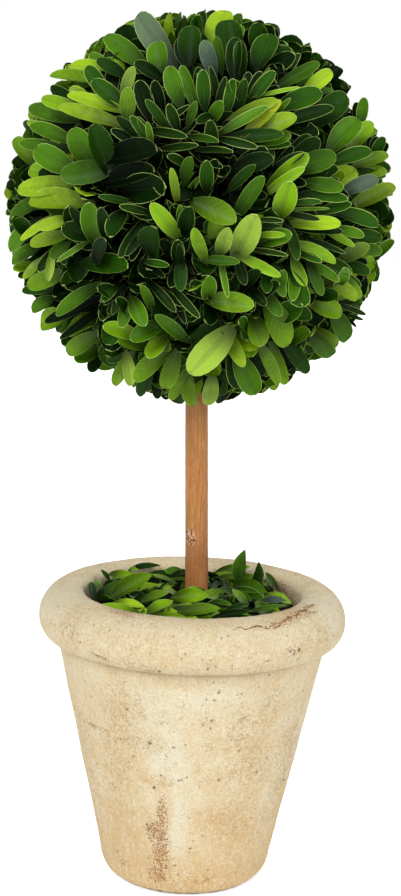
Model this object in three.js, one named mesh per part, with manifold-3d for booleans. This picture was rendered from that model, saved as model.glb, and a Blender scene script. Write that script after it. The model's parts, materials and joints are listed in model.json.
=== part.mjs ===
// A clipped box ball on a bare stick, set in an old cast-stone pot: a preserved table-top topiary.
// Millimetres, +Z up. The origin is the middle of the pot's flat underside, and +Y runs away from
// the front. The pot is turned about +Z, and the stick leans a little to the left of its axis.
import * as THREE from "three";
import { mergeVertices } from "three/addons/utils/BufferGeometryUtils.js";
import Module from "manifold-3d";

const wasm = await Module();
wasm.setup();

// Driving sizes
const SEAT_GAP = 0.3; // left between pieces that touch

const POT_HEIGHT = 140;
const POT_FOOT_RADIUS = 32; // the flat that it stands on
const POT_HEEL_RADIUS = 40.7; // above the rounded heel
const POT_HEEL_HEIGHT = 10;
const POT_NECK_RADIUS = 63.6; // where the wall runs in under the rolled rim
const POT_NECK_HEIGHT = 115.6;
const RIM_LEDGE = 1.1; // how far the roll's lower edge stands out from the wall
const RIM_RADIUS = 72.5;
const RIM_WIDEST_HEIGHT = 125.5;
const RIM_CREST_RADIUS = 57.5;
const MOUTH_RADIUS = 51;
const MOUTH_HEIGHT = 134.5;
const CAVITY_TOP_RADIUS = 50;
const CAVITY_TOP_HEIGHT = 122;
const CAVITY_FLOOR_RADIUS = 30;
const CAVITY_FLOOR_HEIGHT = 11;
const POT_SIDES = 48;
const HEEL_STEPS = 4; // straight edges in each rounded stretch of the profile
const ROLL_UNDER_STEPS = 5;
const ROLL_OVER_STEPS = 6;
const MOUTH_STEPS = 3;

const GROUND_HEIGHT = 127; // the top of the fill
const FILL_CROWN_RADIUS = 30; // the fill falls away outside this
const FILL_EDGE_HEIGHT = 122;

const STICK_FOOT = new THREE.Vector3(1.9, 0, GROUND_HEIGHT + SEAT_GAP);
const STICK_TIP_HEIGHT = 300;
const STICK_LEAN = THREE.MathUtils.degToRad(1.85); // to the left
const STICK_FOOT_RADIUS = 5.9;
const STICK_RADIUS = 5.5;
const STICK_TIP_RADIUS = 5.3;
const FLARE_LENGTH = 14;
const STICK_SIDES = 16;
const KNOT_HEIGHT = 165;
const KNOT_BEARING = THREE.MathUtils.degToRad(-125); // front left, from +X
const KNOT_RISE = 0.75;
const KNOT_REACH = 4.2;
const RINGS_BELOW_KNOT = [0, 5, FLARE_LENGTH, 26]; // heights above the stick's foot
const RINGS_ABOVE_KNOT = [62, 90, 130];

const BALL_CENTRE = new THREE.Vector3(-2.8, 0, 314.5);
const BALL_REACH = 90; // no leaf tip passes this
const CORE_RADIUS = 67;
const CORE_DETAIL = 3;
const SPRAY_COUNT = 72;
const BALL_SEED = 2300;
const SPRAY_JITTER = 0.16;
const SPRAY_DEPTH_JITTER = 2;
const SPRAY_ROOT_RADIUS = 59; // a twig's root lies sunk in the core
const LEAF_TIERS = [
  // station: where the pair leaves the twig, from the ball's centre. splay: angle off the twig.
  { station: 66.5, splay: 73, length: 27 },
  { station: 70.5, splay: 52, length: 24 },
  { station: 74, splay: 22, length: 15 },
];
const PAIR_STAGGER = 0.9; // one leaf of a pair leaves the twig this much higher than the other
const SPLAY_SPREAD = 9; // degrees more or less
const LENGTH_SPREAD = 0.12; // share more or less
const BEARING_SPREAD = 0.3; // radians more or less
const BALL_LEAF_DROOP = 0.04; // how far a leaf's tip bends back, over its length
const DROOP_SPREAD = 0.1;
const TWIG_TOP = 81;
const TWIG_ROOT_THICKNESS = 2.4;
const BALL_LEAF_SLENDERNESS = 0.64; // width over length
const LEAF_THICKNESS = 0.045; // over length
const LIMB_CLEARANCE = 1.2;
const SOCKET_PLAY = 2 * SEAT_GAP; // round the stick's end, and SEAT_GAP over it
const SOCKET_RUN_OUT = 20; // how far the cut for the socket runs past the core

const MULCH_RADIUS = 47;
const MULCH_HOLE_RADIUS = 8.2;
const MULCH_INNER_HEIGHT = 133.5;
const MULCH_EDGE_HEIGHT = 126.5;
const MULCH_EDGE_LIFT = 1.6; // how far the mat's edge clears the fill
const MULCH_SIDES = 24;
const MULCH_RING_RADII = [MULCH_RADIUS, 38, 27, MULCH_HOLE_RADIUS + 2];
const MULCH_LIP = 1.5; // how far the mat's inner edge is rounded down
const MULCH_LEAF_COUNT = 40;
const MULCH_LEAF_LENGTH = 22;
const MULCH_LEAF_SLENDERNESS = 0.46;
const MULCH_INNER_FOOT = 22; // the loose leaves' feet lie between these radii
const MULCH_OUTER_FOOT = 43;
const MULCH_LEAF_SINK = 1.2; // how deep a loose leaf's foot lies in the mat
const MULCH_SEED = 1000;
const MULCH_LEAF_SWERVE = [0.75, 0.7]; // least angle off the way to the axis, and its spread
const MULCH_LEAF_LIFT = [1.2, 3.6]; // least height of a tip over the mat, and its spread
const MULCH_LEAF_DROOP = [0.06, 0.1];
const MULCH_LEAF_ROLL = 0.5;
const MULCH_LENGTH_SPREAD = 0.15;
const STANDING_LEAF = {
  bearing: THREE.MathUtils.degToRad(36),
  radius: 25,
  heading: THREE.MathUtils.degToRad(-8),
  length: 23,
  lift: 21.5,
  roll: 0.3,
  droop: 0.02,
};

const GOLDEN_ANGLE = Math.PI * (3 - Math.sqrt(5));

const stone = new THREE.MeshStandardMaterial({ name: "cast_stone", color: 0xe0cfa8, roughness: 0.9 });
const fillMoss = new THREE.MeshStandardMaterial({ name: "fill_moss", color: 0x2b2a1a, roughness: 1 });
const stickWood = new THREE.MeshStandardMaterial({ name: "stick_wood", color: 0xa8683f, roughness: 0.6 });
const boxLeaf = new THREE.MeshStandardMaterial({ name: "box_leaf", color: 0x4d8a1e, roughness: 0.5 });
const looseLeaf = new THREE.MeshStandardMaterial({ name: "loose_leaf", color: 0x3f7a28, roughness: 0.5 });

// One stream of even numbers from 0 to 1 for each seed, the same wherever it is written again
function stream(seed) {
  let state = (seed * 2654435 + 12345) % 4294967296;
  const next = () => {
    state = (state * 1664525 + 1013904223) % 4294967296;
    return state / 4294967296;
  };
  next();
  next();
  return next;
}

// A number spread evenly on both sides of nought
const either = (next, spread) => (next() * 2 - 1) * spread;

// A number between a least value and that value with its whole spread added
const between = (next, [least, spread]) => least + next() * spread;

function toSolid(geometry) {
  const bare = geometry.clone();
  bare.deleteAttribute("normal");
  bare.deleteAttribute("uv");
  const merged = mergeVertices(bare);
  return new wasm.Manifold(
    new wasm.Mesh({
      numProp: 3,
      vertProperties: merged.attributes.position.array,
      triVerts: new Uint32Array(merged.index.array),
    }),
  );
}

function toGeometry(solid) {
  const mesh = solid.getMesh();
  const geometry = new THREE.BufferGeometry();
  geometry.setAttribute("position", new THREE.BufferAttribute(mesh.vertProperties, 3));
  geometry.setIndex(new THREE.BufferAttribute(mesh.triVerts, 1));
  geometry.computeVertexNormals();
  return geometry;
}

const join = (solids) => solids.reduce((whole, piece) => whole.add(piece));

// A profile of [radius, height] pairs turned about the upright axis
function turned(profile, sides) {
  const points = profile.map(([radius, height]) => new THREE.Vector2(radius, height));
  return new THREE.LatheGeometry(points, sides).rotateX(Math.PI / 2);
}

// Points on a quarter of an ellipse. Angles are in quarter turns from straight out.
function quarterArc(centre, halfWidth, halfHeight, from, to, steps) {
  return Array.from({ length: steps + 1 }, (_, step) => {
    const angle = (Math.PI / 2) * (from + ((to - from) * step) / steps);
    return [centre[0] + halfWidth * Math.cos(angle), centre[1] + halfHeight * Math.sin(angle)];
  });
}

// The pot: rounded heel, straight tapering wall, thick rolled rim, and a cavity with a solid floor
function potProfile() {
  const heelWidth = POT_HEEL_RADIUS - POT_FOOT_RADIUS;
  const ledgeRadius = POT_NECK_RADIUS + RIM_LEDGE;
  const rollHeight = RIM_WIDEST_HEIGHT - POT_NECK_HEIGHT;
  return [
    [0, 0],
    ...quarterArc([POT_FOOT_RADIUS, POT_HEEL_HEIGHT], heelWidth, POT_HEEL_HEIGHT, -1, 0, HEEL_STEPS),
    [POT_NECK_RADIUS, POT_NECK_HEIGHT],
    ...quarterArc(
      [ledgeRadius, RIM_WIDEST_HEIGHT],
      RIM_RADIUS - ledgeRadius,
      rollHeight,
      -1,
      0,
      ROLL_UNDER_STEPS,
    ),
    ...quarterArc(
      [RIM_CREST_RADIUS, RIM_WIDEST_HEIGHT],
      RIM_RADIUS - RIM_CREST_RADIUS,
      POT_HEIGHT - RIM_WIDEST_HEIGHT,
      0,
      1,
      ROLL_OVER_STEPS,
    ).slice(1),
    ...quarterArc(
      [RIM_CREST_RADIUS, MOUTH_HEIGHT],
      RIM_CREST_RADIUS - MOUTH_RADIUS,
      POT_HEIGHT - MOUTH_HEIGHT,
      1,
      2,
      MOUTH_STEPS,
    ).slice(1),
    [CAVITY_TOP_RADIUS, CAVITY_TOP_HEIGHT],
    [CAVITY_FLOOR_RADIUS, CAVITY_FLOOR_HEIGHT],
    [0, CAVITY_FLOOR_HEIGHT],
  ];
}

// The fill: a plug in the cavity, a little domed, which carries the stick and the loose leaves
function fillProfile() {
  return [
    [0, CAVITY_FLOOR_HEIGHT + SEAT_GAP],
    [CAVITY_FLOOR_RADIUS - SEAT_GAP, CAVITY_FLOOR_HEIGHT + SEAT_GAP],
    [CAVITY_TOP_RADIUS - SEAT_GAP, FILL_EDGE_HEIGHT],
    [FILL_CROWN_RADIUS, GROUND_HEIGHT],
    [0, GROUND_HEIGHT],
  ];
}

// The stick's own line: where its middle lies at a height, and how thick it is there
function stickMiddle(height) {
  const run = (height - STICK_FOOT.z) * Math.tan(STICK_LEAN);
  return new THREE.Vector3(STICK_FOOT.x - run, STICK_FOOT.y, height);
}

function stickRadius(height) {
  const along = (height - STICK_FOOT.z) / (STICK_TIP_HEIGHT - STICK_FOOT.z);
  const plain = THREE.MathUtils.lerp(STICK_RADIUS, STICK_TIP_RADIUS, along);
  const flare = Math.max(0, 1 - (height - STICK_FOOT.z) / FLARE_LENGTH);
  return plain + (STICK_FOOT_RADIUS - STICK_RADIUS) * flare * flare;
}

function stickGeometry() {
  const knotRings = [-1, -0.5, 0, 0.5, 1].map((part) => KNOT_HEIGHT + part * KNOT_REACH - STICK_FOOT.z);
  const tipRing = STICK_TIP_HEIGHT - STICK_FOOT.z;
  const rises = [...RINGS_BELOW_KNOT, ...knotRings, ...RINGS_ABOVE_KNOT, tipRing];
  const profile = rises.map((rise) => [stickRadius(STICK_FOOT.z + rise), STICK_FOOT.z + rise]);
  const closed = [[0, STICK_FOOT.z], ...profile, [0, STICK_TIP_HEIGHT]];
  const geometry = turned(closed, STICK_SIDES);
  const position = geometry.attributes.position;
  for (let i = 0; i < position.count; i += 1) {
    const height = position.getZ(i);
    const bearing = Math.atan2(position.getY(i), position.getX(i));
    const turn = Math.atan2(Math.sin(bearing - KNOT_BEARING), Math.cos(bearing - KNOT_BEARING));
    const away = Math.hypot(turn * STICK_RADIUS, height - KNOT_HEIGHT) / KNOT_REACH;
    const swell = 1 + (KNOT_RISE / STICK_RADIUS) * Math.max(0, 1 - away * away);
    const middle = stickMiddle(height);
    position.setX(i, position.getX(i) * swell + middle.x);
    position.setY(i, position.getY(i) * swell + middle.y);
  }
  return geometry;
}

// Leaf outlines: how far across as a share of the width, how far along as a share of the length
const BLUNT_EDGE = [
  [0, 0],
  [0.48, 0.56],
  [0.27, 1],
  [-0.27, 1],
  [-0.48, 0.56],
];
const POINTED_EDGE = [
  [0, 0],
  [0.46, 0.3],
  [0.44, 0.64],
  [0, 1],
  [-0.44, 0.64],
  [-0.46, 0.3],
];

const BELLY = 0.5; // where along a leaf it is thickest

// A leaf blade along +Y, its upper face to +Z: the outline's points, and one that raises the
// middle of the upper face. Its tip bends away from that face by droop.
function bladeGeometry(edge, length, width, thickness, droop) {
  const bend = (along) => -droop * length * along * along;
  const points = edge.map(([across, along]) => [across * width, along * length, bend(along)]);
  points.push([0, BELLY * length, bend(BELLY) + thickness]);
  const belly = edge.length;
  const upper = edge.flatMap((_, i) => [i, (i + 1) % edge.length, belly]);
  const under = edge.slice(2).flatMap((_, i) => [edge.length - 1, i + 1, i]);
  const geometry = new THREE.BufferGeometry();
  geometry.setAttribute("position", new THREE.Float32BufferAttribute(points.flat(), 3));
  geometry.setIndex([...upper, ...under]);
  return geometry;
}

// A frame with +Y along a direction, turned about it
function growthFrame(origin, direction, turn) {
  const lift = new THREE.Quaternion().setFromUnitVectors(new THREE.Vector3(0, 1, 0), direction);
  const twist = new THREE.Quaternion().setFromAxisAngle(new THREE.Vector3(0, 1, 0), turn);
  return new THREE.Matrix4().compose(origin, lift.multiply(twist), new THREE.Vector3(1, 1, 1));
}

// True where every sample point of a piece keeps inside the ball and off the stick
function hasRoom(geometry) {
  const position = geometry.attributes.position;
  for (let i = 0; i < position.count; i += 1) {
    const point = new THREE.Vector3().fromBufferAttribute(position, i);
    if (point.distanceTo(BALL_CENTRE) > BALL_REACH) {
      return false;
    }
    const middle = stickMiddle(point.z);
    const clear = stickRadius(point.z) + LIMB_CLEARANCE;
    if (point.z < STICK_TIP_HEIGHT && Math.hypot(point.x - middle.x, point.y - middle.y) < clear) {
      return false;
    }
  }
  return true;
}

// Where spray number index leaves the ball: evenly spread, then nudged
function sprayDirection(index, next) {
  const height = 1 - (2 * index + 1) / SPRAY_COUNT;
  const ring = Math.sqrt(1 - height * height);
  const bearing = index * GOLDEN_ANGLE;
  const even = new THREE.Vector3(ring * Math.cos(bearing), ring * Math.sin(bearing), height);
  const nudge = new THREE.Vector3(
    either(next, SPRAY_JITTER),
    either(next, SPRAY_JITTER),
    either(next, SPRAY_JITTER),
  );
  return even.add(nudge).normalize();
}

// One spray: a three-sided twig out of the core, with leaves in pairs, each pair across the last
function spraySolids(index) {
  const next = stream(BALL_SEED + index);
  const direction = sprayDirection(index, next);
  const turn = next() * 2 * Math.PI;
  const depth = either(next, SPRAY_DEPTH_JITTER);
  const root = direction.clone().multiplyScalar(SPRAY_ROOT_RADIUS).add(BALL_CENTRE);
  const frame = growthFrame(root, direction, turn);
  const twigLength = TWIG_TOP + depth - SPRAY_ROOT_RADIUS;
  const twig = new THREE.ConeGeometry(TWIG_ROOT_THICKNESS, twigLength, 3)
    .translate(0, twigLength / 2, 0)
    .applyMatrix4(frame);
  if (!hasRoom(twig)) {
    return [];
  }
  const solids = [toSolid(twig)];
  LEAF_TIERS.forEach((tier, level) => {
    for (const side of [0, 1]) {
      const splay = THREE.MathUtils.degToRad(tier.splay + either(next, SPLAY_SPREAD));
      const length = tier.length * (1 + either(next, LENGTH_SPREAD));
      const across = (level % 2) * (Math.PI / 2) + side * Math.PI;
      const bearing = across + either(next, BEARING_SPREAD);
      const droop = BALL_LEAF_DROOP + either(next, DROOP_SPREAD);
      const blade = bladeGeometry(
        BLUNT_EDGE,
        length,
        length * BALL_LEAF_SLENDERNESS,
        length * LEAF_THICKNESS,
        droop,
      )
        .rotateX(splay)
        .rotateY(bearing)
        .translate(0, tier.station + depth + side * PAIR_STAGGER - SPRAY_ROOT_RADIUS, 0)
        .applyMatrix4(frame);
      if (hasRoom(blade)) {
        solids.push(toSolid(blade));
      }
    }
  });
  return solids;
}

// The clipped ball: one mass. The socket for the stick's end is cut out of its core.
function ballGeometry() {
  const core = new THREE.IcosahedronGeometry(CORE_RADIUS, CORE_DETAIL);
  core.translate(BALL_CENTRE.x, BALL_CENTRE.y, BALL_CENTRE.z);
  const socketRadius = STICK_RADIUS + SOCKET_PLAY;
  const socketFoot = BALL_CENTRE.z - CORE_RADIUS - SOCKET_RUN_OUT;
  const socketTop = STICK_TIP_HEIGHT + SEAT_GAP;
  const profile = [
    [0, socketFoot],
    [socketRadius, socketFoot],
    [socketRadius, socketTop],
    [0, socketTop],
  ];
  const socket = turned(profile, STICK_SIDES);
  const position = socket.attributes.position;
  for (let i = 0; i < position.count; i += 1) {
    const middle = stickMiddle(position.getZ(i));
    position.setX(i, position.getX(i) + middle.x);
    position.setY(i, position.getY(i) + middle.y);
  }
  const sprays = Array.from({ length: SPRAY_COUNT }, (_, index) => spraySolids(index)).flat();
  return toGeometry(join([toSolid(core), ...sprays]).subtract(toSolid(socket)));
}

// How high the mat of loose leaves lies at a distance from the pot's axis
function mulchHeight(radius) {
  const share = (radius - MULCH_HOLE_RADIUS) / (MULCH_RADIUS - MULCH_HOLE_RADIUS);
  return THREE.MathUtils.lerp(MULCH_INNER_HEIGHT, MULCH_EDGE_HEIGHT, share * share);
}

// One loose leaf: its foot sunk in the mat at a bearing and radius, its tip a lift above the mat
function looseBlade({ bearing, radius, heading, length, lift, roll, droop }) {
  const footX = radius * Math.cos(bearing);
  const footY = radius * Math.sin(bearing);
  const tipRadius = Math.hypot(footX - length * Math.sin(heading), footY + length * Math.cos(heading));
  const footHeight = mulchHeight(radius) - MULCH_LEAF_SINK;
  const tilt = Math.asin((mulchHeight(tipRadius) + lift - footHeight) / length);
  const width = length * MULCH_LEAF_SLENDERNESS;
  return bladeGeometry(POINTED_EDGE, length, width, length * LEAF_THICKNESS, droop)
    .rotateY(roll)
    .rotateX(tilt)
    .rotateZ(heading)
    .translate(footX, footY, footHeight);
}

// The loose leaves on the fill: a thin mat with leaves lying in and over it, round the stick.
// One leaf stands up from the rest behind the stick.
function mulchGeometry() {
  const profile = [
    [MULCH_HOLE_RADIUS, GROUND_HEIGHT + SEAT_GAP],
    [FILL_CROWN_RADIUS, GROUND_HEIGHT + SEAT_GAP],
    [MULCH_RADIUS, FILL_EDGE_HEIGHT + MULCH_EDGE_LIFT],
    ...MULCH_RING_RADII.map((radius) => [radius, mulchHeight(radius)]),
    [MULCH_HOLE_RADIUS, MULCH_INNER_HEIGHT - MULCH_LIP],
    [MULCH_HOLE_RADIUS, GROUND_HEIGHT + SEAT_GAP],
  ];
  const solids = [toSolid(turned(profile, MULCH_SIDES))];
  for (let index = 0; index < MULCH_LEAF_COUNT; index += 1) {
    const next = stream(MULCH_SEED + index);
    const bearing = index * GOLDEN_ANGLE;
    const share = Math.sqrt((index + 0.5) / MULCH_LEAF_COUNT);
    const side = index % 2 === 0 ? 1 : -1;
    const leaf = {
      bearing,
      radius: THREE.MathUtils.lerp(MULCH_INNER_FOOT, MULCH_OUTER_FOOT, share),
      heading: bearing + Math.PI / 2 + side * between(next, MULCH_LEAF_SWERVE),
      length: MULCH_LEAF_LENGTH * (1 + either(next, MULCH_LENGTH_SPREAD)),
      lift: between(next, MULCH_LEAF_LIFT),
      roll: either(next, MULCH_LEAF_ROLL),
      droop: between(next, MULCH_LEAF_DROOP),
    };
    solids.push(toSolid(looseBlade(leaf)));
  }
  solids.push(toSolid(looseBlade(STANDING_LEAF)));
  return toGeometry(join(solids));
}

function piece(name, geometry, material) {
  const mesh = new THREE.Mesh(geometry, material);
  mesh.name = name;
  return mesh;
}

const topiary = new THREE.Group();
topiary.name = "box_ball_topiary";
topiary.add(piece("pot", turned(potProfile(), POT_SIDES), stone));
topiary.add(piece("pot_fill", turned(fillProfile(), POT_SIDES), fillMoss));
topiary.add(piece("stick_trunk", stickGeometry(), stickWood));
topiary.add(piece("loose_leaves", mulchGeometry(), looseLeaf));
topiary.add(piece("ball_foliage", ballGeometry(), boxLeaf));

export default topiary;
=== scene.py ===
# The looks of a preserved box topiary ball in a cast-stone pot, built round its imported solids.
# Blender's unit is the metre. Sizes that a maker would read off a rule are millimetres times MM.
import json
import math
from collections import namedtuple

import bmesh
import bpy
import numpy as np
from mathutils import Matrix, Quaternion, Vector, kdtree, noise

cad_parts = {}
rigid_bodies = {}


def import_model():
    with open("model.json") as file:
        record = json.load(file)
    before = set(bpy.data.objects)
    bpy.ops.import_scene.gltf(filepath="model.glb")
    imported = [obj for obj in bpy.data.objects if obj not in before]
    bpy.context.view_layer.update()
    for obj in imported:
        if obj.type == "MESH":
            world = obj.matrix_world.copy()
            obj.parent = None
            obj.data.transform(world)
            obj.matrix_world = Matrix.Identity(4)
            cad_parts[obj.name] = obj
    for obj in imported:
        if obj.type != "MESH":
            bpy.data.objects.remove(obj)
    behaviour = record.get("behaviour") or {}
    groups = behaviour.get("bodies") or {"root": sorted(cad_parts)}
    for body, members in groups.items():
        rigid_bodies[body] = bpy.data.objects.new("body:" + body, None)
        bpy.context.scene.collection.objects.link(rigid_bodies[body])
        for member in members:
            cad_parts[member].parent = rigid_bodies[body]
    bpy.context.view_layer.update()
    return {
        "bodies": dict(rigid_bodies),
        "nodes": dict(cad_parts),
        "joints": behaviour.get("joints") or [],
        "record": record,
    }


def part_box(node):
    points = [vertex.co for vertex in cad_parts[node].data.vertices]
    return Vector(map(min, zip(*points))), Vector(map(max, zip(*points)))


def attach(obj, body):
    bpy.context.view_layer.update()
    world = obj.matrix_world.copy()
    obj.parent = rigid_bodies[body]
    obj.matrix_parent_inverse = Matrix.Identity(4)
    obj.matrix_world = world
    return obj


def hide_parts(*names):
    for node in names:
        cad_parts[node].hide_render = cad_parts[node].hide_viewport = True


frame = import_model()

MM = 0.001

# The camera: level with the ball, 700 mm in front of the pot's axis, tipped down to see into the
# pot's mouth, and turned a little so that the pot leans as it does in the picture.
CAMERA_PLACE = Vector((1.2, -700, 316)) * MM
CAMERA_TIP = math.radians(9)
CAMERA_TURN = math.radians(1.91)
LENS_PIXELS = 1519
PICTURE_HEIGHT = 896
SENSOR = 36

camera = bpy.data.objects.new("camera", bpy.data.cameras.new("camera"))
camera.data.sensor_width = SENSOR
camera.data.lens = SENSOR * LENS_PIXELS / PICTURE_HEIGHT
camera.data.clip_start = 10 * MM
camera.data.clip_end = 20
camera_tilt = Matrix.Rotation(math.radians(90) - CAMERA_TIP, 4, "X")
camera.matrix_world = Matrix.Translation(CAMERA_PLACE) @ camera_tilt @ Matrix.Rotation(CAMERA_TURN, 4, "Z")
bpy.context.scene.collection.objects.link(camera)
bpy.context.scene.camera = camera

# The pot: cast stone from a turned mould, 140 mm tall, with a rounded heel, a straight wall and a
# thick rolled rim. Air holes, stains from the mould, rust and limewash have aged its surface. Some
# marks are painted light and shade: limewash on the rim and just under the roll, a shadow line under
# the roll and a contact shadow at the foot.
POT_FOOT_RADIUS = 32 * MM
POT_HEEL_RADIUS = 40.7 * MM
POT_HEEL_HEIGHT = 10 * MM
POT_NECK_RADIUS = 63.6 * MM
POT_NECK_HEIGHT = 115.6 * MM
RIM_LEDGE = 1.1 * MM
RIM_WIDEST_HEIGHT = 125.5 * MM
RIM_CREST_RADIUS = 59 * MM
CREST_WEAR = 1.0 * MM
MOUTH_RADIUS = 51 * MM
MOUTH_HEIGHT = 134.5 * MM
CAVITY_TOP_RADIUS = 50 * MM
CAVITY_TOP_HEIGHT = 122 * MM
CAVITY_FLOOR_RADIUS = 30 * MM
CAVITY_FLOOR_HEIGHT = 11 * MM
POT_TURNS = 360
POT_OUTSIDE_STEP = 0.95 * MM
POT_INSIDE_STEP = 5 * MM
POT_RELIEF_MOST = 0.3 * MM
CREAM = (0.66, 0.56, 0.375)
BUFF = (0.60, 0.455, 0.25)
LIMEWASH_AND_PAINTED_LIGHT = (0.68, 0.635, 0.48)
OCHRE_AND_PAINTED_SHADE = (0.53, 0.35, 0.15)
RUST = (0.25, 0.085, 0.022)
CONTACT_SHADOW_DARK = (0.10, 0.08, 0.065)
TAN_SPECK = (0.40, 0.235, 0.09)
PALE_GRAIN = (0.80, 0.74, 0.57)
PALE_SAND = (0.80, 0.73, 0.54)
DARK_SAND = (0.42, 0.28, 0.125)
SCRATCH_BROWN = (0.36, 0.20, 0.075)
CREASE_SHADOW_BROWN = (0.34, 0.22, 0.11)
PIT_BROWN = (0.13, 0.09, 0.04)
PIT_DEPTH = 0.6 * MM
# The cast surface: how broad its swells, its grit and its air holes are, and how high or deep
SWELL_SIZE, SWELL_RISE = 22 * MM, 0.24 * MM
GRIT_SIZE, GRIT_RISE = 2.6 * MM, 0.10 * MM
HOLE_SIZE, HOLE_DEPTH = 4.6 * MM, 3.6 * MM
HOLE_THRESHOLD = 0.47
HOLE_SHIFT = Vector((7, 3, 5))


class Wire:
    """An outlet of a node. Arithmetic with it adds the Math node that works out the sum."""

    def __init__(self, nodes, outlet):
        self.nodes = nodes
        self.outlet = outlet

    def reckon(self, operation, first, second):
        return self.nodes.node("ShaderNodeMath", {"operation": operation}, {0: first, 1: second})

    def __add__(self, other):
        return self.reckon("ADD", self, other)

    def __sub__(self, other):
        return self.reckon("SUBTRACT", self, other)

    def __rsub__(self, other):
        return self.reckon("SUBTRACT", other, self)

    def __mul__(self, other):
        return self.reckon("MULTIPLY", self, other)

    def __abs__(self):
        return self.reckon("ABSOLUTE", self, 0)

    def zigzag(self, half):
        """Runs up to half, back down to 0 and up again as the value grows."""
        return self.reckon("PINGPONG", self, half)

    __radd__ = __add__
    __rmul__ = __mul__


class Nodes:
    """The nodes of a material or of the studio's surroundings."""

    def __init__(self, tree):
        self.tree = tree

    def join(self, inlet, value):
        if isinstance(value, Wire):
            self.tree.links.new(value.outlet, inlet)
        elif inlet.type == "RGBA":
            inlet.default_value = (*value, 1)
        else:
            inlet.default_value = value

    def node(self, kind, settings, inlets, outlet=0):
        """Adds a node: its settings first, then the values or wires of its inlets."""
        made = self.tree.nodes.new(kind)
        for name, value in settings.items():
            setattr(made, name, value)
        for inlet, value in inlets.items():
            self.join(made.inputs[inlet], value)
        return Wire(self, made.outputs[outlet])


class Finish(Nodes):
    """A material with one Principled surface, and the nodes that feed it."""

    def __init__(self, name, **sockets):
        self.material = bpy.data.materials.new(name)
        self.material.use_nodes = True
        super().__init__(self.material.node_tree)
        self.surface = self.tree.nodes["Principled BSDF"]
        self.place = self.node("ShaderNodeTexCoord", {}, {}, "Object")
        self.coat(**sockets)

    def coat(self, **sockets):
        """Sets or feeds sockets of the surface: base_color feeds Base Color."""
        for name, value in sockets.items():
            self.join(self.surface.inputs[name.replace("_", " ").title().replace("Ior", "IOR")], value)

    def speckle(self, size, detail=3, rough=0.55, stretch=(1, 1, 1)):
        """Noise from 0 to 1 whose patches are about size across, stretched along the axes."""
        spread = tuple(1 / (size * part) for part in stretch)
        where = self.node("ShaderNodeVectorMath", {"operation": "MULTIPLY"}, {0: self.place, 1: spread})
        inlets = {"Vector": where, "Scale": 1, "Detail": detail, "Roughness": rough}
        return self.node("ShaderNodeTexNoise", {}, inlets, "Fac")

    def ease(self, value, low, high):
        """0 up to low and 1 from high on, with a soft change between. It runs down if high is lower."""
        inlets = {"Value": value, "From Min": low, "From Max": high}
        return self.node("ShaderNodeMapRange", {"interpolation_type": "SMOOTHSTEP"}, inlets)

    def tint(self, share, first, second):
        """The first colour where share is 0 and the second where it is 1."""
        return self.node("ShaderNodeMix", {"data_type": "RGBA"}, {0: share, 6: first, 7: second}, 2)

    def layered(self, colour, *layers):
        """A colour with others laid over it in turn, each with the share of it that shows."""
        for share, over in layers:
            colour = self.tint(share, colour, over)
        return colour

    def relief(self, height, depth, strength=1):
        """Bumps as deep as depth where height runs from 0 to 1."""
        return self.node("ShaderNodeBump", {}, {"Height": height, "Distance": depth, "Strength": strength})

    def mark(self, name):
        """A value that the piece's points carry."""
        return self.node("ShaderNodeAttribute", {"attribute_name": name}, {}, "Fac")


def make_piece(name, points, face_groups, finish, replaced, slot, marks=None):
    """A smooth piece from points and groups of faces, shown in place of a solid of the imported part.
    Each mark is a value for every point, which its finish can read."""
    mesh = bpy.data.meshes.new(name)
    faces = [face for group in face_groups for face in group.tolist()]
    mesh.from_pydata(points.tolist(), [], faces)
    mesh.shade_smooth()
    mesh.materials.append(finish.material)
    for mark, values in (marks or {}).items():
        mesh.attributes.new(mark, "FLOAT", "POINT").data.foreach_set("value", values.astype(np.float32))
    made = bpy.data.objects.new(name, mesh)
    bpy.context.scene.collection.objects.link(made)
    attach(made, "root")
    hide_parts(replaced)


def arc_run(centre, half_width, half_height, start, stop, steps):
    """Points on an ellipse round a centre. Angles are in quarter turns from straight out."""
    angles = np.linspace(start, stop, steps + 1) * math.pi / 2
    return np.stack([centre[0] + half_width * np.cos(angles), centre[1] + half_height * np.sin(angles)], 1)


def even_run(line, step):
    """The same line with its points an even step apart."""
    along = np.concatenate([[0], np.cumsum(np.linalg.norm(np.diff(line, axis=0), axis=1))])
    marks = np.linspace(0, along[-1], int(along[-1] / step) + 2)
    return np.stack([np.interp(marks, along, line[:, axis]) for axis in (0, 1)], 1)


def grid_faces(rows, columns, wraps):
    """Four-cornered faces over rows of points. The last column meets the first if it wraps."""
    across = columns if wraps else columns - 1
    row, column = np.meshgrid(np.arange(rows - 1), np.arange(across), indexing="ij")
    after = (column + 1) % columns
    below, above = row * columns, (row + 1) * columns
    return np.stack([below + column, below + after, above + after, above + column], -1).reshape(-1, 4)


def cap_faces(first, count, middle, facing_up):
    """Triangles from a ring of points, counted from first, to a point in the middle."""
    start = np.arange(count)
    after = (start + 1) % count
    corners = (first + start, first + after) if facing_up else (first + after, first + start)
    return np.stack([np.full(count, middle), *corners], -1)


def closed_faces(rings, turns):
    """Faces of a form whose rings of points are followed by the middles of its two ends."""
    count = rings * turns
    return [
        grid_faces(rings, turns, True),
        cap_faces(0, turns, count, False),
        cap_faces(count - turns, turns, count + 1, True),
    ]


def level(bearing):
    """A level direction from its bearing."""
    return Vector((math.cos(bearing), math.sin(bearing), 0))


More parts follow.
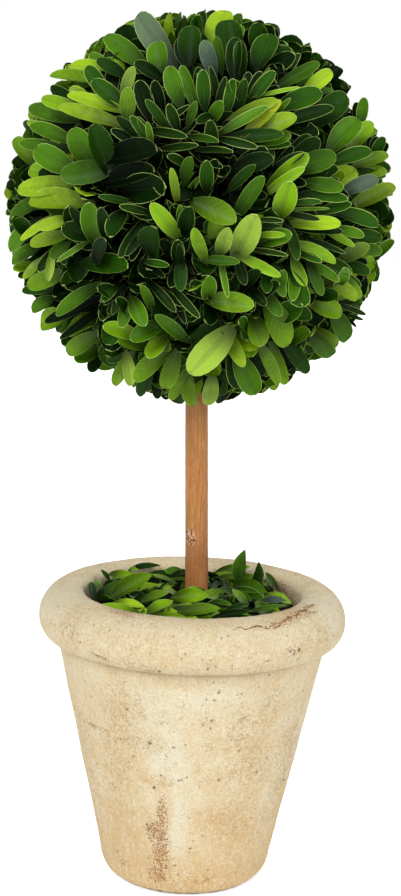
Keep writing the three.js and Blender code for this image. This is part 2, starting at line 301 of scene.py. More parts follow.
pot_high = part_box("pot")[1]
rim_radius = pot_high.x
ledge_radius = POT_NECK_RADIUS + RIM_LEDGE
under_roll = (rim_radius - ledge_radius, RIM_WIDEST_HEIGHT - POT_NECK_HEIGHT)
crest_height = pot_high.z - CREST_WEAR
over_roll = (rim_radius - RIM_CREST_RADIUS, crest_height - RIM_WIDEST_HEIGHT)
mouth_roll = (RIM_CREST_RADIUS - MOUTH_RADIUS, crest_height - MOUTH_HEIGHT)
heel = (POT_HEEL_RADIUS - POT_FOOT_RADIUS, POT_HEEL_HEIGHT)
# The profile from the flat underside up the outside, over the rim and down to the cavity's floor
outside_line = np.concatenate([
    arc_run((POT_FOOT_RADIUS, POT_HEEL_HEIGHT), *heel, -1, 0, 16),
    [(POT_NECK_RADIUS, POT_NECK_HEIGHT)],
    arc_run((ledge_radius, RIM_WIDEST_HEIGHT), *under_roll, -1, 0, 24),
    arc_run((RIM_CREST_RADIUS, RIM_WIDEST_HEIGHT), *over_roll, 0, 1, 24)[1:],
    arc_run((RIM_CREST_RADIUS, MOUTH_HEIGHT), *mouth_roll, 1, 2, 12)[1:],
    [(CAVITY_TOP_RADIUS, CAVITY_TOP_HEIGHT)],
])
inside_line = np.array([
    (CAVITY_TOP_RADIUS, CAVITY_TOP_HEIGHT),
    (CAVITY_FLOOR_RADIUS, CAVITY_FLOOR_HEIGHT),
])
pot_line = np.concatenate([
    even_run(outside_line, POT_OUTSIDE_STEP),
    even_run(inside_line, POT_INSIDE_STEP)[1:],
])
run = np.gradient(pot_line, axis=0)
pot_outward = np.stack([run[:, 1], -run[:, 0]], 1) / np.linalg.norm(run, axis=1)[:, None]

# Where marks lie on the pot, in degrees of bearing from +X and in millimetres: bearing, height, half
# width, half height, and how strongly the mark shows. A half width of 400 runs all the way round.
POT_MARKS = {
    # Limewash, and painted light: the marks round the rim and just under the roll lighten its shade
    "limewash_and_painted_light": [
        (-98, 84, 9, 11, 0.85), (-109, 91, 8, 9, 0.5), (-96, 69, 10, 8, 0.95), (-105, 69, 8, 6, 0.6),
        (-93, 48, 5, 13, 0.85), (-94, 30, 6, 12, 0.8), (-88, 14, 7, 6, 0.4), (-92, 103, 13, 8, 0.75),
        (-76, 104, 12, 7, 0.65), (-105, 103, 8, 8, 0.6), (-62, 104, 9, 8, 0.35), (-60, 58, 6, 18, 0.3),
        (-138, 125, 14, 8, 0.45), (-120, 136, 14, 6, 0.45), (-88, 130, 20, 6, 0.4), (-24, 70, 9, 30, 0.5),
        (20, 84, 14, 18, 0.8), (95, 66, 12, 16, 0.8), (160, 92, 13, 13, 0.8), (58, 30, 8, 15, 0.6),
        (128, 30, 10, 12, 0.6), (60, 104, 16, 8, 0.7), (120, 104, 14, 8, 0.6), (-175, 104, 12, 9, 0.6),
        (70, 132, 24, 7, 0.5), (150, 132, 18, 6, 0.5), (-158, 134, 16, 9, 0.8), (-25, 134, 16, 9, 0.8),
        (0, 134, 18, 9, 0.6), (180, 134, 18, 9, 0.6),
    ],
    "ochre_and_painted_shade": [
        (-126, 80, 12, 30, 0.55), (-130, 30, 14, 22, 0.55), (-70, 82, 9, 10, 0.45), (-57, 66, 9, 14, 0.5),
        (-55, 88, 8, 16, 0.5), (-74, 47, 9, 12, 0.45), (-58, 38, 12, 18, 0.6), (-80, 8, 26, 7, 0.8),
        (-118, 12, 16, 10, 0.45), (-114, 62, 6, 10, 0.3), (-48, 124, 8, 5, 0.4), (-66, 118, 10, 4, 0.3),
        (15, 35, 22, 20, 0.6), (75, 90, 16, 20, 0.5), (118, 100, 12, 18, 0.45), (165, 28, 20, 20, 0.6),
        (-170, 60, 10, 30, 0.5), (-10, 40, 10, 26, 0.45),
        # Painted shadow: a thin line under the roll. Then a band that is darker and browner towards the
        # bottom
        (-90, 115.4, 400, 0.6, 1.0), (-90, 0, 400, 36, 0.85),
    ],
    "gritty": [
        (-118, 94, 14, 14, 0.7), (-140, 128, 12, 8, 0.9), (-155, 60, 9, 40, 0.8), (-30, 60, 9, 40, 0.7),
        (-75, 128, 30, 9, 0.2), (-112, 130, 24, 8, 0.3), (-36, 130, 10, 8, 0.6), (-130, 60, 12, 22, 0.6),
        (-108, 79, 7, 2.5, 1.0), (-128, 80, 20, 3, 0.8), (-80, 79, 5, 2, 0.7),
        (-66, 88, 10, 13, 0.6), (-58, 68, 16, 12, 0.6), (-64, 40, 16, 12, 0.6),
        (-101, 61, 8, 4, 0.8), (-52, 97, 7, 12, 0.7), (-110, 118, 14, 5, 0.5), (-62, 121, 16, 5, 0.5),
        (-85, 9, 28, 6, 0.7), (-112, 139, 8, 2, 0.7), (0, 60, 26, 26, 0.6), (60, 78, 22, 24, 0.6),
        (130, 60, 22, 26, 0.6), (180, 70, 16, 26, 0.6), (90, 128, 40, 8, 0.5), (10, 132, 18, 6, 0.5),
    ],
    "rust": [
        (-102.6, 46, 2.6, 11, 0.75), (-104, 27, 4.2, 13, 1.0), (-110, 35, 4.5, 5, 0.75),
        (-108, 12, 4.5, 5, 0.7), (-132, 13, 4, 3, 0.5), (-50, 126, 9, 4, 0.5), (-58, 136.6, 13, 1.6, 0.6),
        (-40, 138, 12, 1.6, 0.6), (-124, 121, 5, 1.6, 0.7), (-141, 81, 5, 1.6, 0.6), (-84, 92, 3, 3, 0.4),
        (-104, 117.5, 5, 2, 0.5), (32, 131, 15, 5, 1.0), (-124, 139.2, 5, 0.9, 0.8),
        (-117, 139, 4, 0.8, 0.6), (40, 44, 3.4, 17, 0.8), (141, 70, 3.4, 15, 0.8), (85, 21, 6, 8, 0.7),
        (10, 128, 10, 3, 0.6), (112, 129, 9, 3, 0.6),
    ],
    # Painted contact shadow: a dark band round the very foot of the pot
    "painted_contact_shadow": [(-90, 0, 400, 4, 1.0)],
    # Painted shadow: a thin dark line in the crease where the roll meets the wall
    "crease_shadow": [(-90, 115.6, 400, 1.0, 1.0)],
    "pit": [
        (bearing, height, 0.8 * size, 0.8 * size, 1.6)
        for bearing, height, size in [
            (-107.6, 79.5, 0.9), (-96.5, 78.5, 0.8), (-79.9, 92.5, 0.8), (-106.7, 57.3, 1.0),
            (-93.8, 62.4, 0.8), (-90.1, 63.9, 0.7), (-102.8, 64, 0.7), (-111.2, 35.3, 0.8),
            (-86.7, 27, 0.8), (-41.4, 83.9, 0.7), (-118.3, 94.5, 0.8), (-26.8, 58.3, 0.9),
            (-65.4, 66.3, 0.6), (-65.3, 93, 0.7), (-116.9, 71.3, 0.7), (-69.6, 104.9, 0.7),
            (-77.9, 106.4, 0.8), (-100.8, 117.6, 0.7), (-48.7, 125.4, 1.1), (-51, 124, 0.9),
            (-53, 125.6, 0.8), (-84, 120, 0.7), (20, 96, 0.9), (64, 50, 1.0), (88, 100, 0.8),
            (116, 74, 0.9), (150, 40, 0.9), (-160, 90, 0.9), (172, 58, 0.8), (40, 126, 0.9),
            (-2, 30, 0.8), (136, 118, 0.9),
        ]
    ],
}


def mark_strength(marks, points):
    """How strongly a set of marks shows at each point of the pot, from 0 to 1."""
    total = np.zeros(len(points))
    bearings = np.arctan2(points[:, 1], points[:, 0])
    radii = np.hypot(points[:, 0], points[:, 1])
    for bearing, height, half_width, half_height, strength in marks:
        turn = (bearings - math.radians(bearing) + math.pi) % (2 * math.pi) - math.pi
        across = turn * radii / (half_width * MM)
        up = (points[:, 2] - height * MM) / (half_height * MM)
        total += strength * np.exp(-(across**2) - up**2)
    return np.clip(total, 0, 1)


def pot_relief(point):
    """How far a point of the cast wall lies off the true turned form."""
    swell = noise.fractal(point / SWELL_SIZE, 0.9, 2, 3) * SWELL_RISE
    grit = noise.fractal(point / GRIT_SIZE, 0.7, 2, 3) * GRIT_RISE
    hole = max(0, noise.noise(point / HOLE_SIZE + HOLE_SHIFT) - HOLE_THRESHOLD)
    return min(swell + grit - hole * HOLE_DEPTH, POT_RELIEF_MOST)


pot_points = []
for (radius, height), (side, up) in zip(pot_line, pot_outward):
    for step in range(POT_TURNS):
        across = level(2 * math.pi * step / POT_TURNS)
        point = across * radius + Vector((0, 0, height))
        point += (across * side + Vector((0, 0, up))) * pot_relief(point)
        pot_points.append((point.x, point.y, max(0, point.z) if height > 0 else 0))
pot_rings = len(pot_line)
pot_points += [(0, 0, 0), (0, 0, CAVITY_FLOOR_HEIGHT)]
pot_points = np.array(pot_points)
pot_marks = {name: mark_strength(marks, pot_points) for name, marks in POT_MARKS.items()}
wall = slice(0, pot_rings * POT_TURNS)
inward = np.repeat(pot_outward, POT_TURNS, axis=0)
bearings = np.arctan2(pot_points[wall, 1], pot_points[wall, 0])
inward = np.stack([inward[:, 0] * np.cos(bearings), inward[:, 0] * np.sin(bearings), inward[:, 1]], 1)
pot_points[wall] -= inward * pot_marks["pit"][wall, None] * PIT_DEPTH
pot_faces = closed_faces(pot_rings, POT_TURNS)

stone = Finish("cast_stone", specular_ior_level=0.25)
cloud = stone.speckle(13 * MM, 5, 0.7)
blot = stone.speckle(4 * MM, 5, 0.75)
grain = stone.speckle(1.4 * MM, 4, 0.72)
sand = stone.speckle(0.75 * MM, 2, 0.6)
streak = stone.speckle(2 * MM, 4, 0.7, (1, 1, 6))
wiggle = stone.speckle(5 * MM, 3, 0.6)
crumb = stone.speckle(0.85 * MM, 3, 0.7)
aged = {name: stone.mark(name) for name in POT_MARKS}
lime = stone.ease(aged["limewash_and_painted_light"] * 0.6 + blot * 0.9, 0.55, 1.05)
speck = stone.ease(grain, 0.53, 0.60) * stone.ease(aged["gritty"] + blot * 0.9, 0.45, 1.0)
scratch = stone.ease(abs(wiggle - 0.5), 0.016, 0.005)
scratch = scratch * stone.ease(aged["gritty"] * 0.55 + blot, 0.72, 0.95)
rusty = stone.ease(aged["rust"] * 0.13 + crumb, 0.57, 0.63) * stone.ease(aged["rust"], 0.1, 0.5)
freckle = stone.ease(stone.speckle(1.7 * MM, 2, 0.5), 0.67, 0.75)
colour = stone.layered(
    CREAM,
    (stone.ease(cloud, 0.36, 0.66) * 0.8, BUFF),
    # Ochre stains, a painted shadow line under the roll, and a band darker and browner towards the bottom
    (stone.ease(aged["ochre_and_painted_shade"] * (0.4 + blot), 0.15, 0.95) * 0.7, OCHRE_AND_PAINTED_SHADE),
    # Limewash, partly painted light on the rim and under the roll
    (lime * 0.75, LIMEWASH_AND_PAINTED_LIGHT),
    (stone.ease(streak, 0.52, 0.64) * 0.32, LIMEWASH_AND_PAINTED_LIGHT),
    (stone.ease(streak, 0.46, 0.36) * 0.30, OCHRE_AND_PAINTED_SHADE),
    (speck * 0.5, TAN_SPECK),
    (stone.ease(grain, 0.44, 0.36) * 0.35, PALE_GRAIN),
    (stone.ease(sand, 0.54, 0.64) * 0.35, PALE_SAND),
    (stone.ease(sand, 0.46, 0.36) * 0.30, DARK_SAND),
    (scratch * 0.5, SCRATCH_BROWN),
    (rusty * 0.75, RUST),
    # Painted contact shadow at the foot
    (stone.ease(aged["painted_contact_shadow"] + blot * 0.4, 0.75, 1.15) * 0.9, CONTACT_SHADOW_DARK),
    # Painted shadow in the crease under the roll
    (aged["crease_shadow"] * (0.3 + blot * 0.6), CREASE_SHADOW_BROWN),
    (freckle * 0.6, PIT_BROWN),
    (stone.ease(aged["pit"] + grain * 0.5, 0.6, 1.0) * 0.85, PIT_BROWN),
)
stone.coat(base_color=colour, roughness=0.78 + sand * 0.2)
stone.coat(normal=stone.relief(grain * 0.7 + sand * 0.3 - freckle * 0.8 - scratch * 0.6, 0.45 * MM, 0.75))
make_piece("pot_shell", pot_points, pot_faces, stone, "pot", "cast_stone", pot_marks)

# Hairline cracks in the cast stone, full of brown dirt: one along the rim's right shoulder, one
# under the roll on the left, and a few short ones. Each is a jagged ribbon on the pot's skin.
# Points of a crack: bearing in degrees and height in millimetres. Last comes its greatest width.
CRACKS = [
    ([(-75, 136.2), (-71.6, 137.2), (-69.6, 136.2), (-66, 137), (-63.9, 137.1), (-62, 136.4),
      (-60.8, 135.8), (-58.4, 136.6), (-56.4, 137.1), (-52.3, 137.3)], 0.8),
    ([(-58.6, 135.6), (-55, 136.4), (-52.3, 137.3), (-49, 137.9), (-44.4, 138.2), (-40.5, 138.3)], 1.1),
    ([(-42, 138.3), (-38, 138.6), (-33.2, 138.8), (-29, 138.9), (-25.4, 138.8)], 0.7),
    ([(-38, 138.6), (-34, 137.6), (-30, 137.2)], 0.45),
    ([(-128.5, 122.4), (-126, 121.4), (-123.6, 120.8), (-120, 119.6)], 0.75),
    ([(-145, 80.6), (-141.5, 81.1), (-138, 80.8)], 0.7),
    ([(-149, 46), (-146, 42), (-144.5, 38)], 0.6),
    ([(62, 138.4), (70, 137.6), (76, 138), (84, 137.1)], 0.8),
    ([(150, 121), (155, 119.8), (161, 120.4)], 0.7),
    ([(12, 86), (16, 82.5), (15, 77), (18, 72)], 0.6),
]
CRACK_STEP = 0.8 * MM
CRACK_LIFT = 0.07 * MM
CRACK_WANDER = 0.55 * MM
CRACK_END_SHARE = 0.35
CRACK_BROWN = (0.17, 0.08, 0.03)
CRACK_DUST = (0.42, 0.25, 0.11)
crest_ring = int(np.argmax(pot_line[:, 1]))
pot_grid = pot_points[wall].reshape(pot_rings, POT_TURNS, 3)


def on_pot(bearing, height):
    """A point on the pot's outside skin, a hair above it. The bearing is in radians."""
    ring = np.interp(height, pot_line[: crest_ring + 1, 1], np.arange(crest_ring + 1))
    column = bearing / (2 * math.pi) * POT_TURNS
    low, left = int(ring), math.floor(column)
    up, along = ring - low, column - left
    near, far = left % POT_TURNS, (left + 1) % POT_TURNS
    high = min(low + 1, crest_ring)
    lower = pot_grid[low, near] * (1 - along) + pot_grid[low, far] * along
    upper = pot_grid[high, near] * (1 - along) + pot_grid[high, far] * along
    side, rise = pot_outward[low]
    out = np.array([side * math.cos(bearing), side * math.sin(bearing), rise])
    return lower * (1 - up) + upper * up + out * CRACK_LIFT


crack_points = []
crack_faces = []
for number, (places, width) in enumerate(CRACKS):
    route = np.array([(math.radians(bearing) * rim_radius, height * MM) for bearing, height in places])
    route = even_run(route, CRACK_STEP)
    first = len(crack_points)
    for step, (around, height) in enumerate(route):
        seed = Vector((step * 0.83, number * 9.7, 0))
        wander = noise.noise(seed) * CRACK_WANDER
        share = step / (len(route) - 1)
        swell = CRACK_END_SHARE + (1 - CRACK_END_SHARE) * math.sin(math.pi * share)
        half = width * 0.38 * MM * swell * (0.65 + 0.7 * abs(noise.noise(seed * 2.3)))
        for side in (-1, 1):
            spot = height + wander + side * half
            crack_points.append(on_pot((around + wander * 0.6) / rim_radius, min(spot, crest_height)))
    pairs = first + 2 * np.arange(len(route) - 1)
    crack_faces.append(np.stack([pairs, pairs + 2, pairs + 3, pairs + 1], -1))
crack_dirt = Finish("crack_dirt", roughness=0.9, specular_ior_level=0.1)
dust = crack_dirt.speckle(1.6 * MM, 3, 0.7)
dirt = crack_dirt.tint(crack_dirt.ease(dust, 0.35, 0.62), CRACK_BROWN, CRACK_DUST)
crack_dirt.coat(base_color=dirt, normal=crack_dirt.relief(dust, 0.2 * MM))
make_piece("pot_cracks", np.array(crack_points), crack_faces, crack_dirt, "pot", "cast_stone")

# The fill: a plug of foam wedged in the pot, dark with moss. It carries the stick, and all of it lies
# under the loose leaves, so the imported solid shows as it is.
FILL_DARK = (0.012, 0.011, 0.006)
FILL_LIGHT = (0.045, 0.04, 0.02)


def mottled(name, patches, depth, first, second, roughness=1.0, shine=0.1):
    """A finish that one noise both colours and embosses. Patches are its size, detail and roughness."""
    finish = Finish(name, roughness=roughness, specular_ior_level=shine)
    lumps = finish.speckle(*patches)
    finish.coat(base_color=finish.tint(lumps, first, second), normal=finish.relief(lumps, depth))
    return finish


fill_moss = mottled("fill_moss", (2.5 * MM, 4, 0.7), 1.2 * MM, FILL_DARK, FILL_LIGHT)
frame["nodes"]["pot_fill"].data.materials.clear()
frame["nodes"]["pot_fill"].data.materials.append(fill_moss.material)

# The stick: a straight stem of smooth cinnamon-brown wood, 11 mm thick, pushed into the fill. It
# leans a little to the left and keeps the scar of a side shoot at the front.
STICK_FOOT = Vector((1.9, 0, 127.3)) * MM
STICK_TIP_HEIGHT = 300 * MM
STICK_LEAN = math.radians(1.85)
STICK_FOOT_RADIUS = 5.9 * MM
STICK_RADIUS = 5.5 * MM
STICK_TIP_RADIUS = 5.3 * MM
FLARE_LENGTH = 14 * MM
KNOT_HEIGHT = 165 * MM
KNOT_BEARING = math.radians(-125)
KNOT_RISE = 0.75 * MM
KNOT_HOLLOW = 0.5 * MM
KNOT_REACH = 4.2 * MM
SCAR_DROP = 1.5 * MM
STICK_TURNS = 72
STICK_STEP = 0.9 * MM
STICK_INSET = 0.12 * MM
RIDGE_SIZE, RIDGE_RISE = 26 * MM, 0.16 * MM
RIPPLE_SIZE, RIPPLE_RISE = 5 * MM, 0.05 * MM
FOOT_SHADE_TOP = 172 * MM
FOOT_SHADE_FULL = 150 * MM
CINNAMON = (0.50, 0.225, 0.070)
DARK_CINNAMON = (0.335, 0.135, 0.040)
PALE_MOTTLE = (0.60, 0.30, 0.12)
DARK_MOTTLE = (0.29, 0.10, 0.026)
PALE_BAND = (0.58, 0.27, 0.12)
FLECK_BROWN = (0.19, 0.07, 0.03)
FOOT_BROWN = (0.26, 0.085, 0.026)
SCAR_PITH = (0.74, 0.50, 0.34)
SCAR_HOLLOW = (0.12, 0.038, 0.015)


def stick_middle(height):
    """The middle of the stick at a height."""
    run = (height - STICK_FOOT.z) * math.tan(STICK_LEAN)
    return Vector((STICK_FOOT.x - run, STICK_FOOT.y, height))


def stick_radius(height):
    """Half the stick's thickness at a height, with the flare of its foot."""
    along = (height - STICK_FOOT.z) / (STICK_TIP_HEIGHT - STICK_FOOT.z)
    plain = STICK_RADIUS + (STICK_TIP_RADIUS - STICK_RADIUS) * along
    flare = max(0, 1 - (height - STICK_FOOT.z) / FLARE_LENGTH)
    return plain + (STICK_FOOT_RADIUS - STICK_RADIUS) * flare * flare


stick_heights = np.append(np.arange(STICK_FOOT.z, STICK_TIP_HEIGHT, STICK_STEP), STICK_TIP_HEIGHT)
stick_points = []
scar_strength = []
for height in stick_heights:
    for step in range(STICK_TURNS):
        bearing = 2 * math.pi * step / STICK_TURNS
        across = level(bearing)
        ridge = noise.fractal(Vector((across.x * 2.6, across.y * 2.6, height / RIDGE_SIZE)), 0.8, 2, 3)
        ripple = noise.noise(Vector((across.x, across.y, height / RIPPLE_SIZE)))
        turn = math.remainder(bearing - KNOT_BEARING, 2 * math.pi) * STICK_RADIUS
        away = math.hypot(turn, height - KNOT_HEIGHT) / KNOT_REACH
        knot = max(0, 1 - away * away) * KNOT_RISE - max(0, 1 - 5 * away * away) * KNOT_HOLLOW
        relief = ridge * RIDGE_RISE + ripple * RIPPLE_RISE + knot - STICK_INSET
        stick_points.append(stick_middle(height) + across * (stick_radius(height) + relief))
        scar_away = math.hypot(turn, (height - KNOT_HEIGHT + SCAR_DROP) * 0.7) / KNOT_REACH
        scar_strength.append(max(0, 1 - scar_away))
stick_points += [STICK_FOOT, stick_middle(STICK_TIP_HEIGHT)]
stick_faces = closed_faces(len(stick_heights), STICK_TURNS)

wood = Finish("stick_wood", specular_ior_level=0.22)
fibre = wood.speckle(0.9 * MM, 4, 0.65, (1, 1, 16))
band = wood.speckle(6 * MM, 3, 0.6, (1, 1, 4))
fleck = wood.ease(wood.speckle(0.8 * MM, 2, 0.5, (1, 1, 2.2)), 0.66, 0.74)
mottle = wood.speckle(2.4 * MM, 4, 0.65, (1, 1, 2))
flake = wood.speckle(1.3 * MM, 3, 0.7)
height_up = wood.node("ShaderNodeSeparateXYZ", {}, {0: wood.place}, "Z")
scar = wood.mark("scar") + (mottle - 0.5) * 0.8
pith = wood.ease(scar, 0.28, 0.44) * wood.ease(flake, 0.51, 0.43)
hollow = wood.ease(scar, 0.30, 0.46) * wood.ease(flake, 0.48, 0.56)
colour = wood.layered(
    DARK_CINNAMON,
    (wood.ease(fibre, 0.30, 0.70), CINNAMON),
    (wood.ease(mottle, 0.55, 0.68) * 0.45, PALE_MOTTLE),
    (wood.ease(mottle, 0.45, 0.34) * 0.45, DARK_MOTTLE),
    (wood.ease(band, 0.45, 0.7) * 0.35, PALE_BAND),
    (fleck * 0.5, FLECK_BROWN),
    (wood.ease(height_up, FOOT_SHADE_TOP, FOOT_SHADE_FULL) * 0.45, FOOT_BROWN),
    (pith * 0.8, SCAR_PITH),
    (hollow * 0.95, SCAR_HOLLOW),
)
wood.coat(base_color=colour, roughness=0.36 + fibre * 0.25)
wood.coat(normal=wood.relief(fibre - fleck * 0.5, 0.22 * MM, 0.6))
stick_points = np.array(stick_points)
scar_mark = {"scar": np.array(scar_strength + [0, 0])}
make_piece("stick_bark", stick_points, stick_faces, wood, "stick_trunk", "stick_wood", scar_mark)

# The ball: sprigs of preserved box wired round a moss ball and clipped. Each sprig is a thin twig
# with small leathery leaves in crossed pairs. The twigs leave the moss by a seeded rule.
# Lengths here are millimetres and angles degrees, unless MM or radians stand with them.
BALL_CENTRE = Vector((-2.8, 0, 314.5)) * MM
BALL_REACH = 90 * MM
SPRAY_COUNT = 72
BALL_SEED = 2300
SPRAY_JITTER = 0.16
SPRAY_DEPTH_JITTER = 2
SPRAY_ROOT_RADIUS = 59
TWIG_TOP = 81
# Tiers of side shoots on a spray: distance from the ball's middle, splay and length
LEAF_TIERS = [(66.5, 73, 27), (70.5, 52, 24), (74, 22, 15)]
PAIR_STAGGER = 0.9
SPLAY_SPREAD = 9
LENGTH_SPREAD = 0.12
BEARING_SPREAD = 0.3
LIMB_CLEARANCE = 1.2 * MM
GOLDEN_ANGLE = math.pi * (3 - math.sqrt(5))
SHOOT_DROP = 8
SHOOT_SPLAY_SHARE = 0.62
# How far side shoots turn outwards as they grow, and how far out they end
SHOOT_LIFT = 1.5
SHOOT_TOP = 69
SPRAY_LEAN = 0.3
# A finer twig forks from each side shoot: where on it, at what angle, and its share of the length
FORK_SHARE = 0.35
FORK_SPLAY = math.radians(15)
FORK_LENGTH = 0.7
FORK_ROLL_SPREAD = 0.5
FORK_LIGHT_SPREAD = 0.15
# Leaf pairs on a twig: share of its length, splay from it, and leaf length
LEAF_PAIRS = [(0.4, 34, 25), (0.75, 24, 26), (1.0, 11, 24)]
PAIR_CROSSING = 0.5
# How far leaves differ: in splay, in how far they are raised and rolled, in length and in slimness
LEAF_SPLAY_SPREAD = 12
LEAF_RAISE_SPREAD = 0.25
LEAF_ROLL_SPREAD = 0.6
LEAF_LENGTHS = (0.8, 1.12)
LEAF_SLIMNESS = (0.46, 0.58)
# Least and greatest fold, cup and droop of a leaf, how far it is twisted, and how its tint varies
LEAF_FOLDS = (0.03, 0.16)
LEAF_CUPS = (0, 0.3)
LEAF_DROOPS = (-0.08, 0.14)
LEAF_TWIST_SPREAD = 0.35
LEAF_LIGHT_SPREAD = 0.22
LEAF_BELLY = 0.6
# How far down its twig a leaf may be moved, so that it stays inside the clipped ball
LEAF_SHIFTS = [0, 3, 6, 9, 12, 15]
# How far inside the ball's reach a leaf may end, which leaves the clipped outline uneven
CLIP_SPREAD = 0.07
# Which way the leaves' upper faces turn: this way, and round it in slow swirls. The swirls come from
# the one noise that changes from run to run unless it is seeded.
FACING = Vector((-0.1, -0.4, 0.5))
FACING_SWIRL = 0.55
SWIRL_COUNT = 1.9
SWIRL_SHIFT = Vector((4, 7, 2))
# Room kept free round the outer part of the listed leaves, and the gap kept behind it
LAID_ROOM = 2.6 * MM
LAID_GAP = 1.0 * MM
# How far their feet run on behind what shows, as a share of the length, and in towards the middle
LAID_FOOT = 0.3
LAID_SINK = 4
# Spots on a listed leaf, and spots on a grown leaf or twig that may not come before them:
# across and along, as shares of its width and its length
LAID_SPOTS = [
    (across, along) for along in (0.35, 0.46, 0.58, 0.69, 0.8, 0.92) for across in (-0.3, 0, 0.3)
]
BLADE_SPOTS = [
    (0, 0.35), (0, 0.5), (0, 0.65), (0, 0.8), (0, 1),
    (-0.45, 0.45), (0.45, 0.45), (-0.45, 0.65), (0.45, 0.65), (-0.35, 0.85), (0.35, 0.85),
]
TWIG_SPOTS = [(0, 0.5), (0, 0.63), (0, 0.75), (0, 0.88), (0, 1)]
# More leaves lie under each listed one, of a deeper tint: how far under, least turn, and side
UNDER_LEAVES = [(2.4, 0.22, -1), (2.4, 0.22, 1), (4.6, 0.6, -1), (4.6, 0.6, 1)]
UNDER_TURN_SPREAD = 0.25
UNDER_LENGTHS = (0.84, 0.96)
UNDER_FOLD = 0.05
# Painted shade: the leaves under the listed ones take a deeper tint, as they lie in the dark gaps
UNDER_SHADE_TINTS = {
    "dark": "deep",
    "green": "deep",
    "fresh": "dark",
    "bright": "green",
    "lime": "fresh",
    "yellow": "green",
    "pale": "green",
    "frosted": "dark",
}


def stream(seed):
    """Even numbers from 0 to 1, the same for a seed wherever the rule is written."""
    state = (seed * 2654435 + 12345) % 2**32

    def draw():
        nonlocal state
        state = (state * 1664525 + 1013904223) % 2**32
        return state / 2**32

    draw()
    draw()
    return draw


def either(draw, spread):
    """A draw from minus the spread to the spread."""
    return (draw() * 2 - 1) * spread


def between(draw, low, high):
    """A draw from low to high."""
    return low + draw() * (high - low)


def spray_direction(index, draw):
    """Where a spray leaves the ball: evenly spread, then nudged."""
    height = 1 - (2 * index + 1) / SPRAY_COUNT
    ring = math.sqrt(1 - height * height)
    bearing = index * GOLDEN_ANGLE
    even = Vector((ring * math.cos(bearing), ring * math.sin(bearing), height))
    return (even + Vector([either(draw, SPRAY_JITTER) for _ in range(3)])).normalized()


def growth_frame(origin, direction, turn):
    """A frame with +Y along a direction, turned about it."""
    lift = Vector((0, 1, 0)).rotation_difference(direction)
    return Matrix.LocRotScale(origin, lift @ Quaternion((0, 1, 0), turn), None)


def faced_frame(origin, along, facing):
    """A frame with +Y along a direction and +Z turned to face another as well as it can."""
    ahead = along.normalized()
    up = (facing - ahead * facing.dot(ahead)).normalized()
    rows = Matrix([ahead.cross(up), ahead, up]).transposed().to_4x4()
    return Matrix.Translation(origin) @ rows


def has_room(point, reach=BALL_REACH):
    """True for a point inside the clipped ball and clear of the stick."""
    clear = stick_radius(point.z) + LIMB_CLEARANCE
    off_stick = point.z > STICK_TIP_HEIGHT or (point - stick_middle(point.z)).length > clear
    return (point - BALL_CENTRE).length <= reach and off_stick


# Leaf tints from deepest to brightest, and three that only listed leaves have
LEAF_TINTS = {
    "deep": (0.002, 0.010, 0.001),
    "dark": (0.006, 0.027, 0.002),
    "green": (0.014, 0.061, 0.002),
    "fresh": (0.047, 0.142, 0.003),
    "bright": (0.134, 0.288, 0.004),
    "lime": (0.220, 0.385, 0.008),
    "yellow": (0.37, 0.50, 0.008),
    "pale": (0.205, 0.350, 0.045),
    # Painted sheen: this blue-grey tint stands in for the sheen on a few dark leaves
    "frosted": (0.085, 0.142, 0.108),
}
GROWN_TINTS = ["deep", "dark", "green", "fresh", "bright", "lime"]
TINT_STEPS = [0.26, 0.50, 0.70, 0.88, 1.04]
# Parts of the ball where the sprigs are brighter or darker, partly in tint and partly as painted
# light and painted shade: direction, spread and change
TINT_LIGHT_AND_SHADE_PLACES = [
    ((-0.86, -0.50, 0.08), 0.45, 0.45),
    ((-0.66, -0.42, 0.62), 0.40, 0.75),
    ((0.74, -0.66, 0.09), 0.42, 0.25),
    ((0.05, -0.55, -0.83), 0.42, 0.35),
    ((0.33, -0.80, 0.48), 0.16, 0.25),
    ((-0.33, -0.92, 0.15), 0.46, -0.70),
    ((0.12, -0.95, 0.25), 0.36, -0.60),
    ((-0.42, -0.78, -0.45), 0.42, -0.52),
    ((0.50, -0.62, 0.60), 0.34, -0.60),
    ((0.97, -0.20, 0.10), 0.35, 0.30),
    ((0.80, 0.00, 0.58), 0.35, 0.25),
]


def light_of(direction, draw):
    """How light a twig's leaves are: by chance, and by the brighter and darker parts of the ball,
    which are partly painted light and shade.
    """
    light = draw()
    for place, spread, change in TINT_LIGHT_AND_SHADE_PLACES:
        apart = direction.angle(Vector(place)) / spread
        light += change * math.exp(-apart * apart)
    return light


def grown_tint(light):
    """The tint of a leaf as light as that."""
    return GROWN_TINTS[sum(light > step for step in TINT_STEPS)]


def facing_of(outward):
    """The way that upper faces turn on a part of the ball."""
    return FACING + noise.noise_vector(outward * SWIRL_COUNT + SWIRL_SHIFT) * FACING_SWIRL


